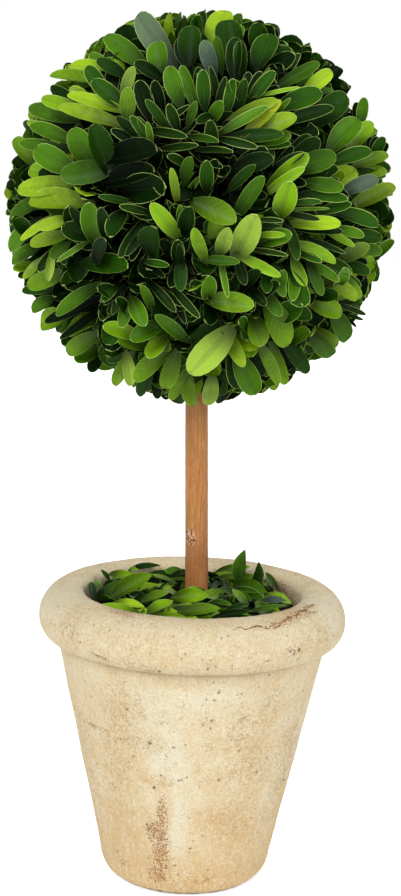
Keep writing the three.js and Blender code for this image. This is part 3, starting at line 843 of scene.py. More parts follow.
# Leaves laid one by one where the picture shows them, for each tint: the foot, the tip and the
# greatest width, all in millimetres
LAID_LEAVES = {
    "deep": [
        (-39.5, -71.6, 335, -20.1, -83, 338, 11.9), (-40.5, -71.9, 325.7, -21, -84.7, 329.7, 11),
        (-33.7, -75.6, 321.9, -16, -86.5, 323.5, 12.6), (-45.4, -44.8, 273.4, -69.1, -26.6, 263.1, 6.1),
        (-24.7, -68.7, 353.5, -29.2, -66, 366.3, 7.5), (-19.9, -68.1, 356.9, -22.6, -68.3, 366.3, 5.4),
    ],
    "dark": [
        (10.6, -55.6, 373.3, 10.3, -47.5, 386.2, 7.3), (32.6, -63, 353.3, 52.5, -51.5, 359.6, 5.9),
        (-37.7, -65.6, 277.5, -44.2, -69.7, 281.6, 6.7), (-45.9, -69.8, 292.3, -39.1, -78.6, 301.7, 9.1),
        (-21.5, -56.9, 370.5, -31.4, -58.1, 374.1, 5.9), (24.6, -68.6, 278.9, 31.5, -75.3, 286.1, 7.4),
        (17.7, -72.9, 283, 23.7, -80.2, 291.7, 5.7), (-32.5, -65.4, 269.3, -35.7, -72, 277.1, 7.5),
        (-56.2, -57.8, 291.5, -52, -65, 282.8, 8.4), (-54.3, -63.1, 305, -56.4, -69.8, 314.7, 9.2),
        (-34.7, -75.5, 312.2, -38.2, -79.7, 302.5, 8.2), (-11.2, -79.9, 293.8, -10.6, -86.9, 302.8, 5.7),
        (-8.3, -82.4, 306, -6.2, -87.9, 316.4, 7.3), (-26.5, -75.6, 342.4, -37.5, -72, 351.3, 4.9),
        (-13, -74.9, 348.8, -16.4, -76.1, 356.5, 4.9), (2.1, -73.9, 354.1, -4.9, -81, 348.8, 4.9),
        (2.5, -78.4, 341.3, 0.6, -80.2, 350.5, 5.7), (-23.5, -73.5, 347, -8.7, -82.8, 343.8, 4.1),
        (-17.6, -76.6, 339.9, -3, -84.3, 339.7, 4.1), (-3, -78.1, 339.5, 10.2, -83.8, 338.2, 4.1),
        (5.7, -76.9, 344.6, 19.8, -81, 340.5, 3.7), (13.3, -78.3, 332.9, 26.8, -79.9, 336.5, 8.2),
        (-8.4, -79.8, 332.6, -16, -84.4, 335.7, 4.9), (29.6, -72.8, 333.6, 39.5, -73.1, 339.1, 5),
        (3.5, -66.1, 362.6, -0.1, -65.8, 372.8, 3.3), (3.6, -68.4, 359.3, 6.5, -68.6, 368.8, 3.3),
        (-22.9, -77.9, 330.2, -16.7, -86.7, 320, 4.9), (-49.9, -66.1, 302.7, -59.4, -66.9, 306.1, 8.3),
        (-48.6, -67, 302.8, -55.5, -70.5, 314.4, 5), (-41.2, -71.3, 301.4, -42.2, -78.7, 315.2, 6.2),
        (-65.6, -49.1, 295.1, -70.6, -48.6, 286.5, 5.1), (-34.3, -67.5, 280.2, -37.4, -68, 270.6, 3.7),
        (-27.1, -78, 307.7, -34.4, -79.7, 294.6, 4.9), (-24.2, -79.8, 306.2, -31.9, -80.8, 295.5, 3.7),
        (-23.9, -80.3, 313, -34.8, -82, 315.4, 3.7), (-10.4, -79.3, 291.4, -10.5, -86.6, 301.2, 4.5),
        (-21.7, -74.3, 282.6, -10.7, -77.4, 273.4, 4.1), (-12.6, -75.5, 281.4, -0.8, -76.6, 271.2, 3.7),
        (35.3, -73.8, 314.5, 46.9, -72.6, 312.5, 2.9), (39, -70.3, 308.5, 57.3, -63.2, 307.8, 4.6),
        (45.3, -65.6, 304.2, 58.8, -60.9, 298.7, 2.5), (22.9, -79.9, 311.7, 31.8, -80.9, 311.6, 2.4),
        (23.1, -79.7, 309, 31.1, -81.1, 309.6, 2), (21.1, -78, 299.2, 34.1, -78.2, 298, 2.5),
        (14.7, -77.6, 294.5, 17.5, -80.4, 285.1, 4.5), (20.3, -71.8, 282.2, 26.2, -74.1, 276.8, 5),
        (63.7, -18.5, 273.6, 73.8, -11, 270.5, 2.7),
    ],
    "green": [
        (-8.6, -50.6, 378.8, -8.2, -45.8, 390.6, 10.3), (-42, -70, 331.3, -47, -68.3, 348.1, 10.4),
        (9.7, -44.2, 382.4, 6.4, -36, 394.3, 11.7), (21.7, -30, 386.8, 18.8, -31.8, 394.8, 8.8),
        (21.5, -44.6, 378.7, 25.7, -36.1, 389.5, 11.3), (31.6, -60.4, 359.9, 46.8, -52.3, 365, 8.9),
        (47.4, -50.7, 354.9, 58.2, -41.1, 364.6, 10.8), (-21.9, -80, 297.4, -19.5, -86.6, 307.6, 12.2),
        (-49.7, -65.6, 290.3, -29.8, -80.1, 289.9, 9.9), (-22.6, -20.2, 240.8, -28.4, -11.7, 230.1, 7.2),
        (35.8, -69, 289.2, 43.1, -65.6, 276.9, 10), (34.6, -59.5, 270.3, 42.3, -66, 277.7, 9.2),
        (38.2, -31.6, 257.8, 48.3, -20.2, 244.5, 7.1), (-23.8, -79.4, 292.5, -13.5, -84.5, 292.3, 3.3),
        (13.9, -53.5, 374.4, 11.9, -50.4, 385.1, 6), (12.6, -67.8, 358, 14.7, -67.7, 368, 5),
        (15, -64.8, 361.5, 8.2, -69.6, 367.2, 5.8), (-1.7, -68.8, 359.1, -2.9, -67.1, 371.4, 6.2),
        (-45.9, -48.4, 364.7, -52.4, -42.9, 373.2, 6.9), (-37.5, -59.8, 358.5, -49, -52.9, 366.7, 7.6),
        (-38.7, -45.4, 372.6, -48.1, -44.1, 375.7, 6), (49.9, -62.8, 315.8, 60.7, -60.7, 319.4, 5),
        (55.6, -51.9, 337.5, 70, -40.8, 342.5, 6.9), (50.8, -50.7, 278.7, 58.1, -53.8, 280.8, 6),
        (19.5, -64.5, 263.8, 14.1, -73.9, 269.8, 7.5), (-70, -20.7, 276.5, -82.4, -11.9, 276.5, 5.4),
        (-80.7, -30.5, 302.7, -83.4, -37.4, 309.6, 7), (-24.1, -76.3, 342.5, -31.7, -74.5, 351.4, 4.5),
        (-24.6, -75.2, 344.9, -28.4, -75.9, 351, 3.3), (-17.5, -74.2, 348.7, -25.5, -72.8, 358.4, 4.1),
        (-6.4, -78.2, 344.9, 4.1, -83.2, 342.3, 3.7), (11.3, -74.5, 345.7, 30.6, -74.9, 346.3, 6.2),
        (0.3, -81.3, 324.5, -0.4, -85.6, 334.6, 6.1), (11.1, -81.2, 324.9, 19.6, -83, 333.4, 4.9),
        (8.1, -70.5, 356.9, 9.4, -68.7, 368.1, 5), (18.3, -63.1, 362.5, 26.6, -59.5, 372.3, 5.9),
        (-37.7, -67.4, 280.9, -41.2, -69.2, 275.9, 5), (-31.4, -79, 317.1, -43.6, -77.8, 319.1, 3.3),
        (-9.6, -79.9, 293, -9.2, -81.4, 281.8, 5.7), (43.5, -67.1, 323.3, 58.8, -62.5, 321.4, 5),
        (37.6, -72.4, 319, 47.4, -72.1, 319.8, 3.3), (58.5, -54.4, 315.6, 74.6, -43.7, 311.5, 7.3),
        (39.5, -68.5, 299.1, 48.7, -68.7, 295.4, 3.7), (65.4, -44.7, 306.1, 76.8, -38.8, 305.5, 6.5),
        (62.7, -44.4, 292.8, 71.5, -42.6, 290.5, 5.6), (54.8, -55, 295.1, 62.8, -53.4, 290.2, 5.5),
        (27.4, -71.9, 289, 25.9, -76.5, 281.9, 5.4), (36.1, -59.6, 273.7, 46.3, -59, 271.5, 7.6),
        (23.5, -77.6, 300.9, 35, -78.8, 304.1, 3.7), (35.6, -72.2, 308.9, 38.4, -75.5, 296.1, 4.9),
        (67.9, -10, 268.7, 72.9, -11.4, 268.1, 1.8), (76.9, -10.5, 342.2, 78.2, -11.5, 349.6, 5.4),
    ],
    "fresh": [
        (-57.5, -28.3, 354.1, -80.2, -11.7, 356.9, 8.1), (-30.4, -38.5, 378, -45.4, -25.4, 387.2, 8.8),
        (-20.9, -53.4, 374.1, -22.6, -48.8, 383.8, 9.4), (-12.3, -67.6, 360, -16.8, -64.8, 372.4, 7.5),
        (-6.2, -68.3, 359.7, -11.9, -65.2, 372.9, 5.4), (-42.4, -70, 330.5, -60.3, -65.5, 326.8, 10),
        (-50.7, -63.7, 333.6, -56.2, -60.8, 346.5, 10.1), (-58.6, -58, 330.3, -73.3, -46.9, 338.4, 10.2),
        (-8.6, -82.9, 327, -5.7, -85.3, 336, 6.1), (7.2, -74, 348.3, 23.9, -71.5, 357.3, 5),
        (14, -81.3, 313.9, 22.6, -83, 329.2, 6.5), (38, -68.4, 334, 52.9, -63.7, 338.7, 9.2),
        (43.3, -66.5, 327.8, 56.8, -63.7, 325.8, 6.3), (30.6, -47.9, 369.7, 46.7, -34, 378.9, 5.6),
        (54.6, -51, 343.3, 63.8, -40.6, 355.2, 10.3), (-47.2, -67.6, 301.2, -46.9, -76.1, 317.4, 8.7),
        (-46.5, -60.1, 279.8, -62.3, -47.5, 268.3, 7.7), (-49.6, -10.1, 247.5, -57.5, -12.5, 245.4, 7.3),
        (-18.2, -64.6, 264.7, -29.8, -64.4, 260.1, 8.4), (-7.6, -63.4, 259.5, -18.5, -75.7, 271.4, 5.8),
        (-21.6, -70, 272.1, -25.6, -79.2, 283.6, 5.4), (25.8, -78.1, 302.6, 35.3, -78.9, 306.5, 7.4),
        (60.4, -22.4, 270.2, 65.9, -11.4, 259, 9), (17.3, -36.3, 248.7, 25.2, -25.1, 234.4, 10.6),
        (45.9, -63.9, 293.4, 49.8, -62.8, 281.1, 5), (0.5, -81.4, 294.2, 14.6, -83.4, 294.8, 4.1),
        (2.2, -75.9, 278.6, 1.9, -84.3, 289.6, 6.9), (52, -23.4, 258.4, 59.7, -11.9, 252.3, 8.1),
        (-77.5, -19.6, 294.8, -87.2, -11.9, 288.9, 8.1), (-30, -67.7, 275, -23.1, -70.4, 266.7, 7.1),
        (4.8, -54.1, 375.6, 1.9, -51.6, 386.3, 5.1), (1.4, -73.7, 352.5, 5.2, -75.8, 358.4, 5.8),
        (-60.7, -46.8, 343, -76.6, -34.8, 348.9, 6.9), (-62.9, -41.5, 338.9, -82.5, -27.4, 341.4, 6.1),
        (72.8, -32.5, 304.4, 77, -39.2, 309.8, 7), (59.8, -48.9, 284.3, 58.7, -59.8, 292.9, 7.7),
        (31.2, -68.5, 280.8, 32.8, -77.2, 291.9, 6.6), (12.3, -71, 270.3, 14.6, -73, 276.7, 6.6),
        (41.1, -45.9, 257.9, 46, -55, 265.3, 7.7), (-70.4, -15.6, 270.8, -77.3, -12.2, 267.3, 7.2),
        (-23.7, -76.6, 342.1, -24.6, -78.3, 349.4, 2.9), (-8.2, -75.7, 350.5, -5.2, -77, 358, 3.7),
        (29, -65.3, 356.7, 33.3, -66.7, 361.1, 2.5), (-72.5, -43.1, 316.8, -85.3, -33, 309.1, 7.4),
        (-78.7, -29.5, 305.4, -87.3, -19.4, 294.4, 8), (-59.8, -56.9, 298.9, -64.5, -58.9, 292.9, 5.5),
        (-49.9, -65.6, 300.2, -61.3, -61.6, 291.5, 2.5), (-31.8, -65.9, 275.2, -33.6, -66, 265.2, 5.8),
        (-10.9, -83.5, 309.9, -9.8, -88.2, 317, 2.8), (34.3, -75.3, 316.1, 50.9, -70.3, 317.5, 1.7),
        (57.1, -55.7, 308.5, 67.1, -53.6, 305.9, 4.7), (67.8, -39.7, 301.8, 77, -36.3, 299, 5.7),
        (46, -62.5, 293.4, 57.5, -58.1, 287.3, 4.6), (40.1, -65.5, 290, 37, -69.8, 278.6, 5.4),
        (31, -72.3, 291.6, 33.5, -72.7, 280.7, 5), (27.9, -68.9, 279.9, 33.2, -68.5, 272.6, 5.4),
        (7.4, -79.7, 293.6, 10.4, -79.8, 279.9, 2.9), (70.1, -10.9, 356.9, 68.5, -11.3, 366.5, 5.4),
        (79.3, -10.3, 295.3, 85, -10.8, 304.4, 5.4),
    ],
    "bright": [
        (-49.1, -28.7, 369.9, -70.6, -11.8, 371, 7.2), (-34.5, -67.9, 352.5, -33.1, -67.3, 363.3, 6.7),
        (-78.6, -23.1, 333.1, -86, -12, 343.8, 7.2), (27.7, -76.2, 326.7, 41.2, -72.2, 338.8, 7.4),
        (31.5, -75.6, 314.8, 34, -80, 327.6, 9.4), (63.3, -38.7, 343.2, 70.7, -28.4, 354.9, 7),
        (66.3, -28.3, 337.3, 79.9, -18.2, 341.9, 5.8), (-11.9, -82.9, 304.3, -21.8, -86.4, 317, 6.9),
        (0.5, -81.6, 295, -4.3, -87.8, 308.5, 5.3), (-63.5, -20.4, 263.3, -73, -12.8, 261.3, 10.8),
        (-48.8, -23, 255.5, -60.6, -12, 248.6, 8.1), (-29.8, -55.9, 259.4, -41.9, -61.7, 265.4, 6.8),
        (-25.2, -50.5, 253.9, -35.5, -59.6, 258.7, 7.2), (-16.6, -57.7, 257.9, -22.7, -58.9, 252.3, 7.6),
        (-15.7, -51.8, 252.2, -28.8, -41.4, 240.7, 8.6), (-32.5, -22.1, 246.5, -39.6, -11.8, 234.3, 6.3),
        (-11, -50.6, 251, -15.2, -41, 237.6, 7.8), (-4.4, -38.9, 243, -13.1, -28.5, 230.8, 5.3),
        (-5.5, -24.1, 242.2, -2.8, -11.7, 226.3, 7.6), (-3.1, -84, 317.3, 12.3, -87.6, 311.1, 9.7),
        (39.7, -70.1, 301.6, 55.3, -63.9, 295.4, 5.8), (4.4, -74.8, 277, 21.1, -76.6, 277.2, 8.6),
        (29, -65, 275.9, 35.9, -58, 259.2, 11.8), (23.6, -62.2, 268, 24.8, -62.3, 258.8, 9.2),
        (48.3, -51.3, 276.1, 60, -46.3, 272.8, 9.4), (26.5, -42.7, 254.9, 34.6, -30.9, 239.9, 6.5),
        (33, -33.9, 254.3, 38.5, -22.8, 239.1, 6.2), (38.8, -69.1, 295, 42.5, -69.6, 285.3, 5),
        (15.8, -79.9, 296.3, 31.6, -77.6, 289.4, 4.5), (54.1, -17.3, 261.1, 62, -10.8, 255.9, 6.3),
        (-63.3, -44.2, 284.8, -76.4, -34.6, 279.6, 7.8), (-58.4, -38.5, 357.6, -73.2, -27.7, 360.4, 6.1),
        (-67.5, -39, 346.4, -77.7, -32.7, 349.8, 4.4), (21.5, -63.6, 363.8, 37.1, -59.7, 366.2, 2.1),
        (-79.4, -10.2, 286.4, -86.1, -12, 285.7, 5.4), (25.8, -77.4, 323, 39.7, -74.8, 333.1, 4.5),
        (54, -58.7, 306.8, 63.1, -57.8, 302.1, 3.8), (60.7, -44.6, 288.1, 69, -39.3, 279.5, 5.6),
        (23.2, -79.3, 305.3, 32.8, -80.6, 306.1, 2.9),
    ],
    "lime": [
        (-47.8, -24.8, 376.2, -62.7, -11.5, 376.5, 6.3), (-37.8, -61.5, 356, -60.2, -47.4, 361.5, 5.9),
        (-39.6, -63.8, 350.5, -63.2, -50.3, 356.3, 6.8), (-59.3, -58.6, 324.5, -80.3, -43.4, 320.7, 8.5),
        (-51.8, -65.7, 315.7, -75.1, -50.1, 316.6, 10.1), (-11.9, -83.4, 318.2, -14.3, -85.6, 331.4, 3.6),
        (2, -33.6, 386.6, 5.9, -23.4, 399.9, 11.9), (11.8, -72.4, 354.5, 27.5, -69, 360, 5.4),
        (19.4, -71.8, 347.3, 35.9, -70.1, 353.4, 8.3), (42, -41.5, 367.3, 52.5, -31.6, 375.9, 6.6),
        (67.5, -26.3, 318.9, 84.8, -11, 329.1, 7.6), (38.5, -70.7, 310.2, 56.1, -66, 311.1, 6.2),
        (54.3, -51.6, 286.1, 66.9, -42.5, 279.2, 6.9), (11.3, -55, 261.2, 18.5, -56.2, 249.5, 6.3),
        (-67.4, -50.3, 309.4, -79.3, -42, 299.6, 4.3), (-60.7, -56.7, 302.2, -74.5, -49.2, 298.2, 6.4),
        (-59.8, -58.7, 308.9, -70, -56.8, 304.8, 5.5), (-73.1, -34.5, 290.1, -78.2, -34.5, 282.2, 5.3),
    ],
    "yellow": [
        (16.9, -74.4, 348.2, 29.1, -69.2, 360.4, 5.4),
    ],
    "pale": [
        (-36.4, -60.5, 362.1, -31.3, -59.9, 372.3, 5.9), (11.6, -61.4, 262.1, -4.7, -56.5, 245.8, 12.7),
        (-34.4, -37.7, 248.9, -30.5, -30.5, 236.7, 6.1), (5.4, -19.7, 237.6, 3.9, -11.5, 227.5, 7.7),
        (14.2, -79.4, 297.4, 20.6, -85.9, 314.1, 10.6), (6.9, -80.8, 298, 9.6, -86.9, 308.2, 6.5),
        (61.5, -47.1, 295, 70.5, -47.1, 302.1, 6.9), (-67.2, -49.7, 293.4, -65.9, -52.4, 282.6, 3.8),
    ],
    "frosted": [
        (-18.3, -31.1, 380.4, -32.7, -11.9, 398.6, 11.2), (1.5, -56.6, 373.7, -3, -53.6, 384.3, 6.8),
        (61.4, -49.8, 325.3, 73, -41.5, 330.8, 6.9),
    ],
}
LAID_FACING = Vector((-0.1, -1, 0.3))
LAID_WOBBLE = 0.28
LAID_FOLD = 0.16
LAID_CUPS = (0, 0.2)
LAID_DROOP_SPREAD = 0.05
LAID_TWIST_SPREAD = 0.16

# A leaf's frame has +Y along the midrib and +Z up from the face. Size is its length, and slim its
# width as a share of that. Its halves are folded up, its edges cupped, its tip drooped and its blade
# twisted by shares of its width or length. Shade is how light it is within its tint.
Leaf = namedtuple("Leaf", "frame size slim fold cup droop twist shade tint")
ball_leaves = []
ball_twigs = []


def laid_leaf(numbers, facing, wobble, fold, tint, draw):
    """A leaf from its foot, tip and width, facing about one way."""
    foot, tip = Vector(numbers[:3]) * MM, Vector(numbers[3:6]) * MM
    size = (tip - foot).length
    turned = facing + Vector([either(draw, wobble) for _ in range(3)])
    frame = faced_frame(foot, tip - foot, turned)
    cup, droop = between(draw, *LAID_CUPS), either(draw, LAID_DROOP_SPREAD)
    bends = (fold, cup, droop, either(draw, LAID_TWIST_SPREAD))
    return Leaf(frame, size, numbers[6] * MM / size, *bends, draw(), tint)


draw = stream(BALL_SEED - 1)
for tint, places in LAID_LEAVES.items():
    for numbers in places:
        seen_foot, tip = Vector(numbers[:3]), Vector(numbers[3:6])
        inward = (BALL_CENTRE / MM - seen_foot).normalized()
        foot = seen_foot + (seen_foot - tip) * LAID_FOOT + inward * LAID_SINK
        whole = (*foot, *tip, numbers[6])
        ball_leaves.append(laid_leaf(whole, LAID_FACING, LAID_WOBBLE, LAID_FOLD, tint, draw))


def seen_place(point):
    """Where a point shows from the camera, on the upright plane through the pot's axis."""
    away = point - CAMERA_PLACE
    return Vector((away.x, 0, away.z)) * (-CAMERA_PLACE.y / away.y)


def spots_on(frame, size, slim, spots, bends=(0, 0, 0, 0)):
    """Points of a blade or a twig from their places across and along it, and the blade's bends."""
    fold, cup, droop, twist = bends
    points = []
    for across, along in spots:
        width = 2 * across
        bend = cup * width * width + fold * abs(width) + twist * along * width
        rise = slim * bend - droop * along * along
        points.append(frame @ (Vector((across * slim, along, rise)) * size))
    return points


laid_depths = []
laid_places = kdtree.KDTree(len(LAID_SPOTS) * len(ball_leaves))
for laid in ball_leaves:
    for spot in spots_on(laid.frame, laid.size, laid.slim, LAID_SPOTS, laid[3:7]):
        laid_places.insert(seen_place(spot), len(laid_depths))
        laid_depths.append(spot.y)
laid_places.balance()


def in_the_way(point):
    """True for a point before or close behind the outer part of a listed leaf, as seen from the front."""
    behind = laid_places.find_range(seen_place(point), LAID_ROOM)
    return any(laid_depths[index] > point.y - LAID_GAP for _, index, _ in behind)


def hides_laid(*limb):
    """True for a leaf or a twig that would cover or cut the outer part of a listed leaf."""
    return any(in_the_way(spot) for spot in spots_on(*limb))


for laid in ball_leaves[:]:
    below = UNDER_SHADE_TINTS.get(laid.tint, laid.tint)
    for drop, turn, side in UNDER_LEAVES:
        swing = Matrix.Rotation(side * (turn + draw() * UNDER_TURN_SPREAD), 4, "Z")
        under = laid.frame @ Matrix.Translation((0, 0, -drop * MM)) @ swing
        size = laid.size * between(draw, *UNDER_LENGTHS)
        flat = laid._replace(frame=under, size=size, fold=UNDER_FOLD, cup=0, twist=0)
        flat = flat._replace(shade=draw(), tint=below)
        hides = hides_laid(under, size, laid.slim, BLADE_SPOTS, flat[3:7])
        if has_room(under @ Vector((0, size, 0))) and not hides:
            ball_leaves.append(flat)
    foot = laid.frame.translation
    root = BALL_CENTRE + (foot - BALL_CENTRE).normalized() * SPRAY_ROOT_RADIUS * MM
    twig, length = faced_frame(root, foot - root, LAID_FACING), (foot - root).length
    if not hides_laid(twig, length, 0, TWIG_SPOTS):
        ball_twigs.append((twig, length))


def add_twig(base, length, light, pairs, draw):
    """A fine twig along a frame's +Y, with pairs of leaves whose upper faces turn to its +Z."""
    end = base @ Vector((0, length, 0))
    if not has_room(end):
        return
    if not hides_laid(base, length, 0, TWIG_SPOTS):
        ball_twigs.append((base, length))
    for pair, (share, splay, leaf_length) in enumerate(pairs):
        for side in (-1, 1):
            opened = math.radians(splay + either(draw, LEAF_SPLAY_SPREAD))
            swing = side * opened * (1 - PAIR_CROSSING * (pair % 2))
            raised = side * (pair % 2) * PAIR_CROSSING + either(draw, LEAF_RAISE_SPREAD)
            roll = either(draw, LEAF_ROLL_SPREAD)
            size = leaf_length * MM * between(draw, *LEAF_LENGTHS)
            slim = between(draw, *LEAF_SLIMNESS)
            fold, cup = between(draw, *LEAF_FOLDS), between(draw, *LEAF_CUPS)
            droop, twist = between(draw, *LEAF_DROOPS), either(draw, LEAF_TWIST_SPREAD)
            bends = (fold, cup, droop, twist)
            shade = draw()
            tint = grown_tint(light + either(draw, LEAF_LIGHT_SPREAD))
            clip = BALL_REACH * (1 - CLIP_SPREAD * draw())
            for shift in LEAF_SHIFTS:
                leaf = (
                    base
                    @ Matrix.Translation((0, max(0, share * length - shift * MM), 0))
                    @ Matrix.Rotation(swing, 4, "Z")
                    @ Matrix.Rotation(raised, 4, "X")
                    @ Matrix.Rotation(roll, 4, "Y")
                )
                tip = leaf @ Vector((0, size, -droop * size))
                belly = leaf @ Vector((0, LEAF_BELLY * size, 0))
                if has_room(tip, clip) and has_room(belly):
                    if not hides_laid(leaf, size, slim, BLADE_SPOTS, bends):
                        ball_leaves.append(Leaf(leaf, size, slim, *bends, shade, tint))
                    break


noise.seed_set(BALL_SEED)
for index in range(SPRAY_COUNT):
    draw = stream(BALL_SEED + index)
    direction = spray_direction(index, draw)
    turn = draw() * 2 * math.pi
    depth = either(draw, SPRAY_DEPTH_JITTER)
    root = BALL_CENTRE + direction * SPRAY_ROOT_RADIUS * MM
    stem = growth_frame(root, direction, turn)
    lean = Vector([either(draw, SPRAY_LEAN) for _ in range(3)])
    stem_length = (TWIG_TOP + depth - SPRAY_ROOT_RADIUS) * MM
    faced = faced_frame(root, direction, facing_of(direction))
    add_twig(faced, stem_length, light_of(direction, draw), LEAF_PAIRS, draw)
    for tier, (station, splay, length) in enumerate(LEAF_TIERS):
        for side in (0, 1):
            angle = math.radians(splay + either(draw, SPLAY_SPREAD)) * SHOOT_SPLAY_SHARE
            reach = length * (1 + either(draw, LENGTH_SPREAD)) * MM
            bearing = (tier % 2) * math.pi / 2 + side * math.pi + either(draw, BEARING_SPREAD)
            up = (station + depth + side * PAIR_STAGGER - SPRAY_ROOT_RADIUS - SHOOT_DROP) * MM
            shoot = (
                stem
                @ Matrix.Rotation(bearing, 4, "Y")
                @ Matrix.Translation((0, up, 0))
                @ Matrix.Rotation(-angle, 4, "X")
            )
            outward = (shoot @ Vector((0, reach, 0)) - BALL_CENTRE).normalized()
            heading = shoot.to_3x3() @ Vector((0, 1, 0)) + outward * SHOOT_LIFT + lean
            heading.normalize()
            tip = BALL_CENTRE + outward * SHOOT_TOP * MM
            facing = facing_of(outward)
            light = light_of(outward, draw)
            shoot = faced_frame(tip - heading * reach, heading, facing)
            add_twig(shoot, reach, light, LEAF_PAIRS, draw)
            fork_side = 1 if side == tier % 2 else -1
            fork = (
                shoot
                @ Matrix.Translation((0, FORK_SHARE * reach, 0))
                @ Matrix.Rotation(fork_side * FORK_SPLAY, 4, "Z")
                @ Matrix.Rotation(either(draw, FORK_ROLL_SPREAD), 4, "X")
            )
            fork_light = light + either(draw, FORK_LIGHT_SPREAD)
            add_twig(fork, FORK_LENGTH * reach, fork_light, LEAF_PAIRS[1:], draw)

# Stations along a blade and columns across it, from its foot to its tip and from edge to edge
LEAF_STATIONS = np.array([0, 0.12, 0.28, 0.46, 0.64, 0.80, 0.91, 0.975, 1.0])
BLADE_COLUMNS = np.array([-1, -0.55, 0, 0.55, 1])
BLADE_THICKNESS = 0.28 * MM
RIM_WIDTH = 0.24 * MM
RIM_INNER_LIFT = 0.05 * MM
RIM_OUTER_LIFT = 0.03 * MM
RIB_WIDTH = 0.36 * MM
RIB_STATIONS = np.array([0.02, 0.30, 0.62, 0.88])
# Side of the midrib and lift in millimetres of each row of its points
RIB_ROWS = [(1, 0.02), (0, 0.16), (-1, 0.02)]
# The pale green of edges and midribs. On the rims it is partly the leaves' own pale margin and partly a
# painted highlight
EDGE_GREEN = (0.37, 0.54, 0.19)
BALL_EDGE_SHARE = 0.55


def blunt_width(along, widest=0.58):
    """Half width of a box leaf as a share of the greatest: a wedge-shaped base and a round tip."""
    base = np.sin(np.minimum(along / widest, 1) * math.pi / 2) ** 0.9
    tip = np.sqrt(np.maximum(0, 1 - np.maximum(0, (along - widest) / (1 - widest)) ** 2.3))
    return base * tip


def field(leaves, name):
    """One number of every leaf, as a column."""
    return np.array([getattr(leaf, name) for leaf in leaves])[:, None]


def placed(frames, *local):
    """Points from their places along the axes of many frames, as many in each."""
    rows = np.stack(np.broadcast_arrays(*local, 1.0), -1)
    return np.einsum("nij,nkj->nki", np.array(frames), rows)[..., :3]


def blade_points(leaves, along, across, lift, outline):
    """Points on the blades of many leaves, as many on each: along the midrib and across it as shares
    of the length and of the half width there, and a lift off the upper face."""
    size = field(leaves, "size")
    width = across * outline(along)
    half = size * field(leaves, "slim") / 2
    bend = field(leaves, "cup") * width**2 + field(leaves, "fold") * np.abs(width)
    bend = bend + field(leaves, "twist") * along * width
    rise = 2 * half * bend - field(leaves, "droop") * size * along**2 + lift
    return placed([leaf.frame for leaf in leaves], half * width, size * along, rise)


def for_every(points, faces):
    """All the leaves' points in one list, and the same faces on each leaf."""
    count, each = points.shape[:2]
    shifted = faces[None] + np.arange(count)[:, None, None] * each
    return points.reshape(-1, 3), [shifted.reshape(-1, faces.shape[1])]


def blade_grid():
    """Stations along and across a blade, for each of its points."""
    return (part.ravel() for part in np.meshgrid(LEAF_STATIONS, BLADE_COLUMNS, indexing="ij"))


def leaf_faces(leaves, outline):
    """The upper faces of the leaves."""
    along, across = blade_grid()
    points = blade_points(leaves, along, across, 0, outline)
    return points, grid_faces(len(LEAF_STATIONS), len(BLADE_COLUMNS), False), along, across


def leaf_backs(leaves, outline):
    """The undersides, which meet the upper faces at the leaves' edges."""
    along, across = blade_grid()
    drop = -BLADE_THICKNESS * (1 - across**2) * np.minimum(1, 6 * (1 - along))
    points = blade_points(leaves, along, across, drop, outline)
    return points, grid_faces(len(LEAF_STATIONS), len(BLADE_COLUMNS), False)[:, ::-1], along, across


def leaf_rims(leaves, outline):
    """The pale, hard edges, partly the leaves' own pale margins and partly a painted highlight: a
    narrow strip up one side of each leaf, round its tip and down again.
    """
    way = np.concatenate([LEAF_STATIONS[1:], LEAF_STATIONS[-2:0:-1]])
    side = np.concatenate([np.ones(len(LEAF_STATIONS) - 1), -np.ones(len(LEAF_STATIONS) - 2)])
    size = field(leaves, "size")
    inner_way = way - RIM_WIDTH / size * (way > 0.95)
    half = size * field(leaves, "slim") / 2 * outline(inner_way)
    inner_side = side * np.maximum(0, 1 - RIM_WIDTH / np.maximum(half, RIM_WIDTH))
    inner = blade_points(leaves, inner_way, inner_side, RIM_INNER_LIFT, outline)
    outer = blade_points(leaves, way, side, RIM_OUTER_LIFT, outline)
    first = np.arange(len(way) - 1)
    faces = np.stack([first, first + 1, first + len(way) + 1, first + len(way)], -1)
    return np.concatenate([inner, outer], 1), faces, np.tile(way, 2), np.tile(side, 2)


def leaf_ribs(leaves, outline):
    """The pale midribs: a low ridge from each leaf's foot to near its tip."""
    half = field(leaves, "size") * field(leaves, "slim") / 2 * outline(RIB_STATIONS)
    share = np.minimum(0.8, RIB_WIDTH / 2 * (1.15 - RIB_STATIONS) / half)
    rows = [
        blade_points(leaves, RIB_STATIONS, share * side, lift * MM, outline) for side, lift in RIB_ROWS
    ]
    points = np.stack(rows, 2).reshape(len(leaves), -1, 3)
    along = np.repeat(RIB_STATIONS, 3)
    return points, grid_faces(len(RIB_STATIONS), 3, False)[:, ::-1], along, np.ones(len(along))


def shaded(colour, *shares):
    """A colour with its red, green and blue each taken as a share of what they were."""
    return tuple(part * share for part, share in zip(colour, shares * (3 // len(shares))))


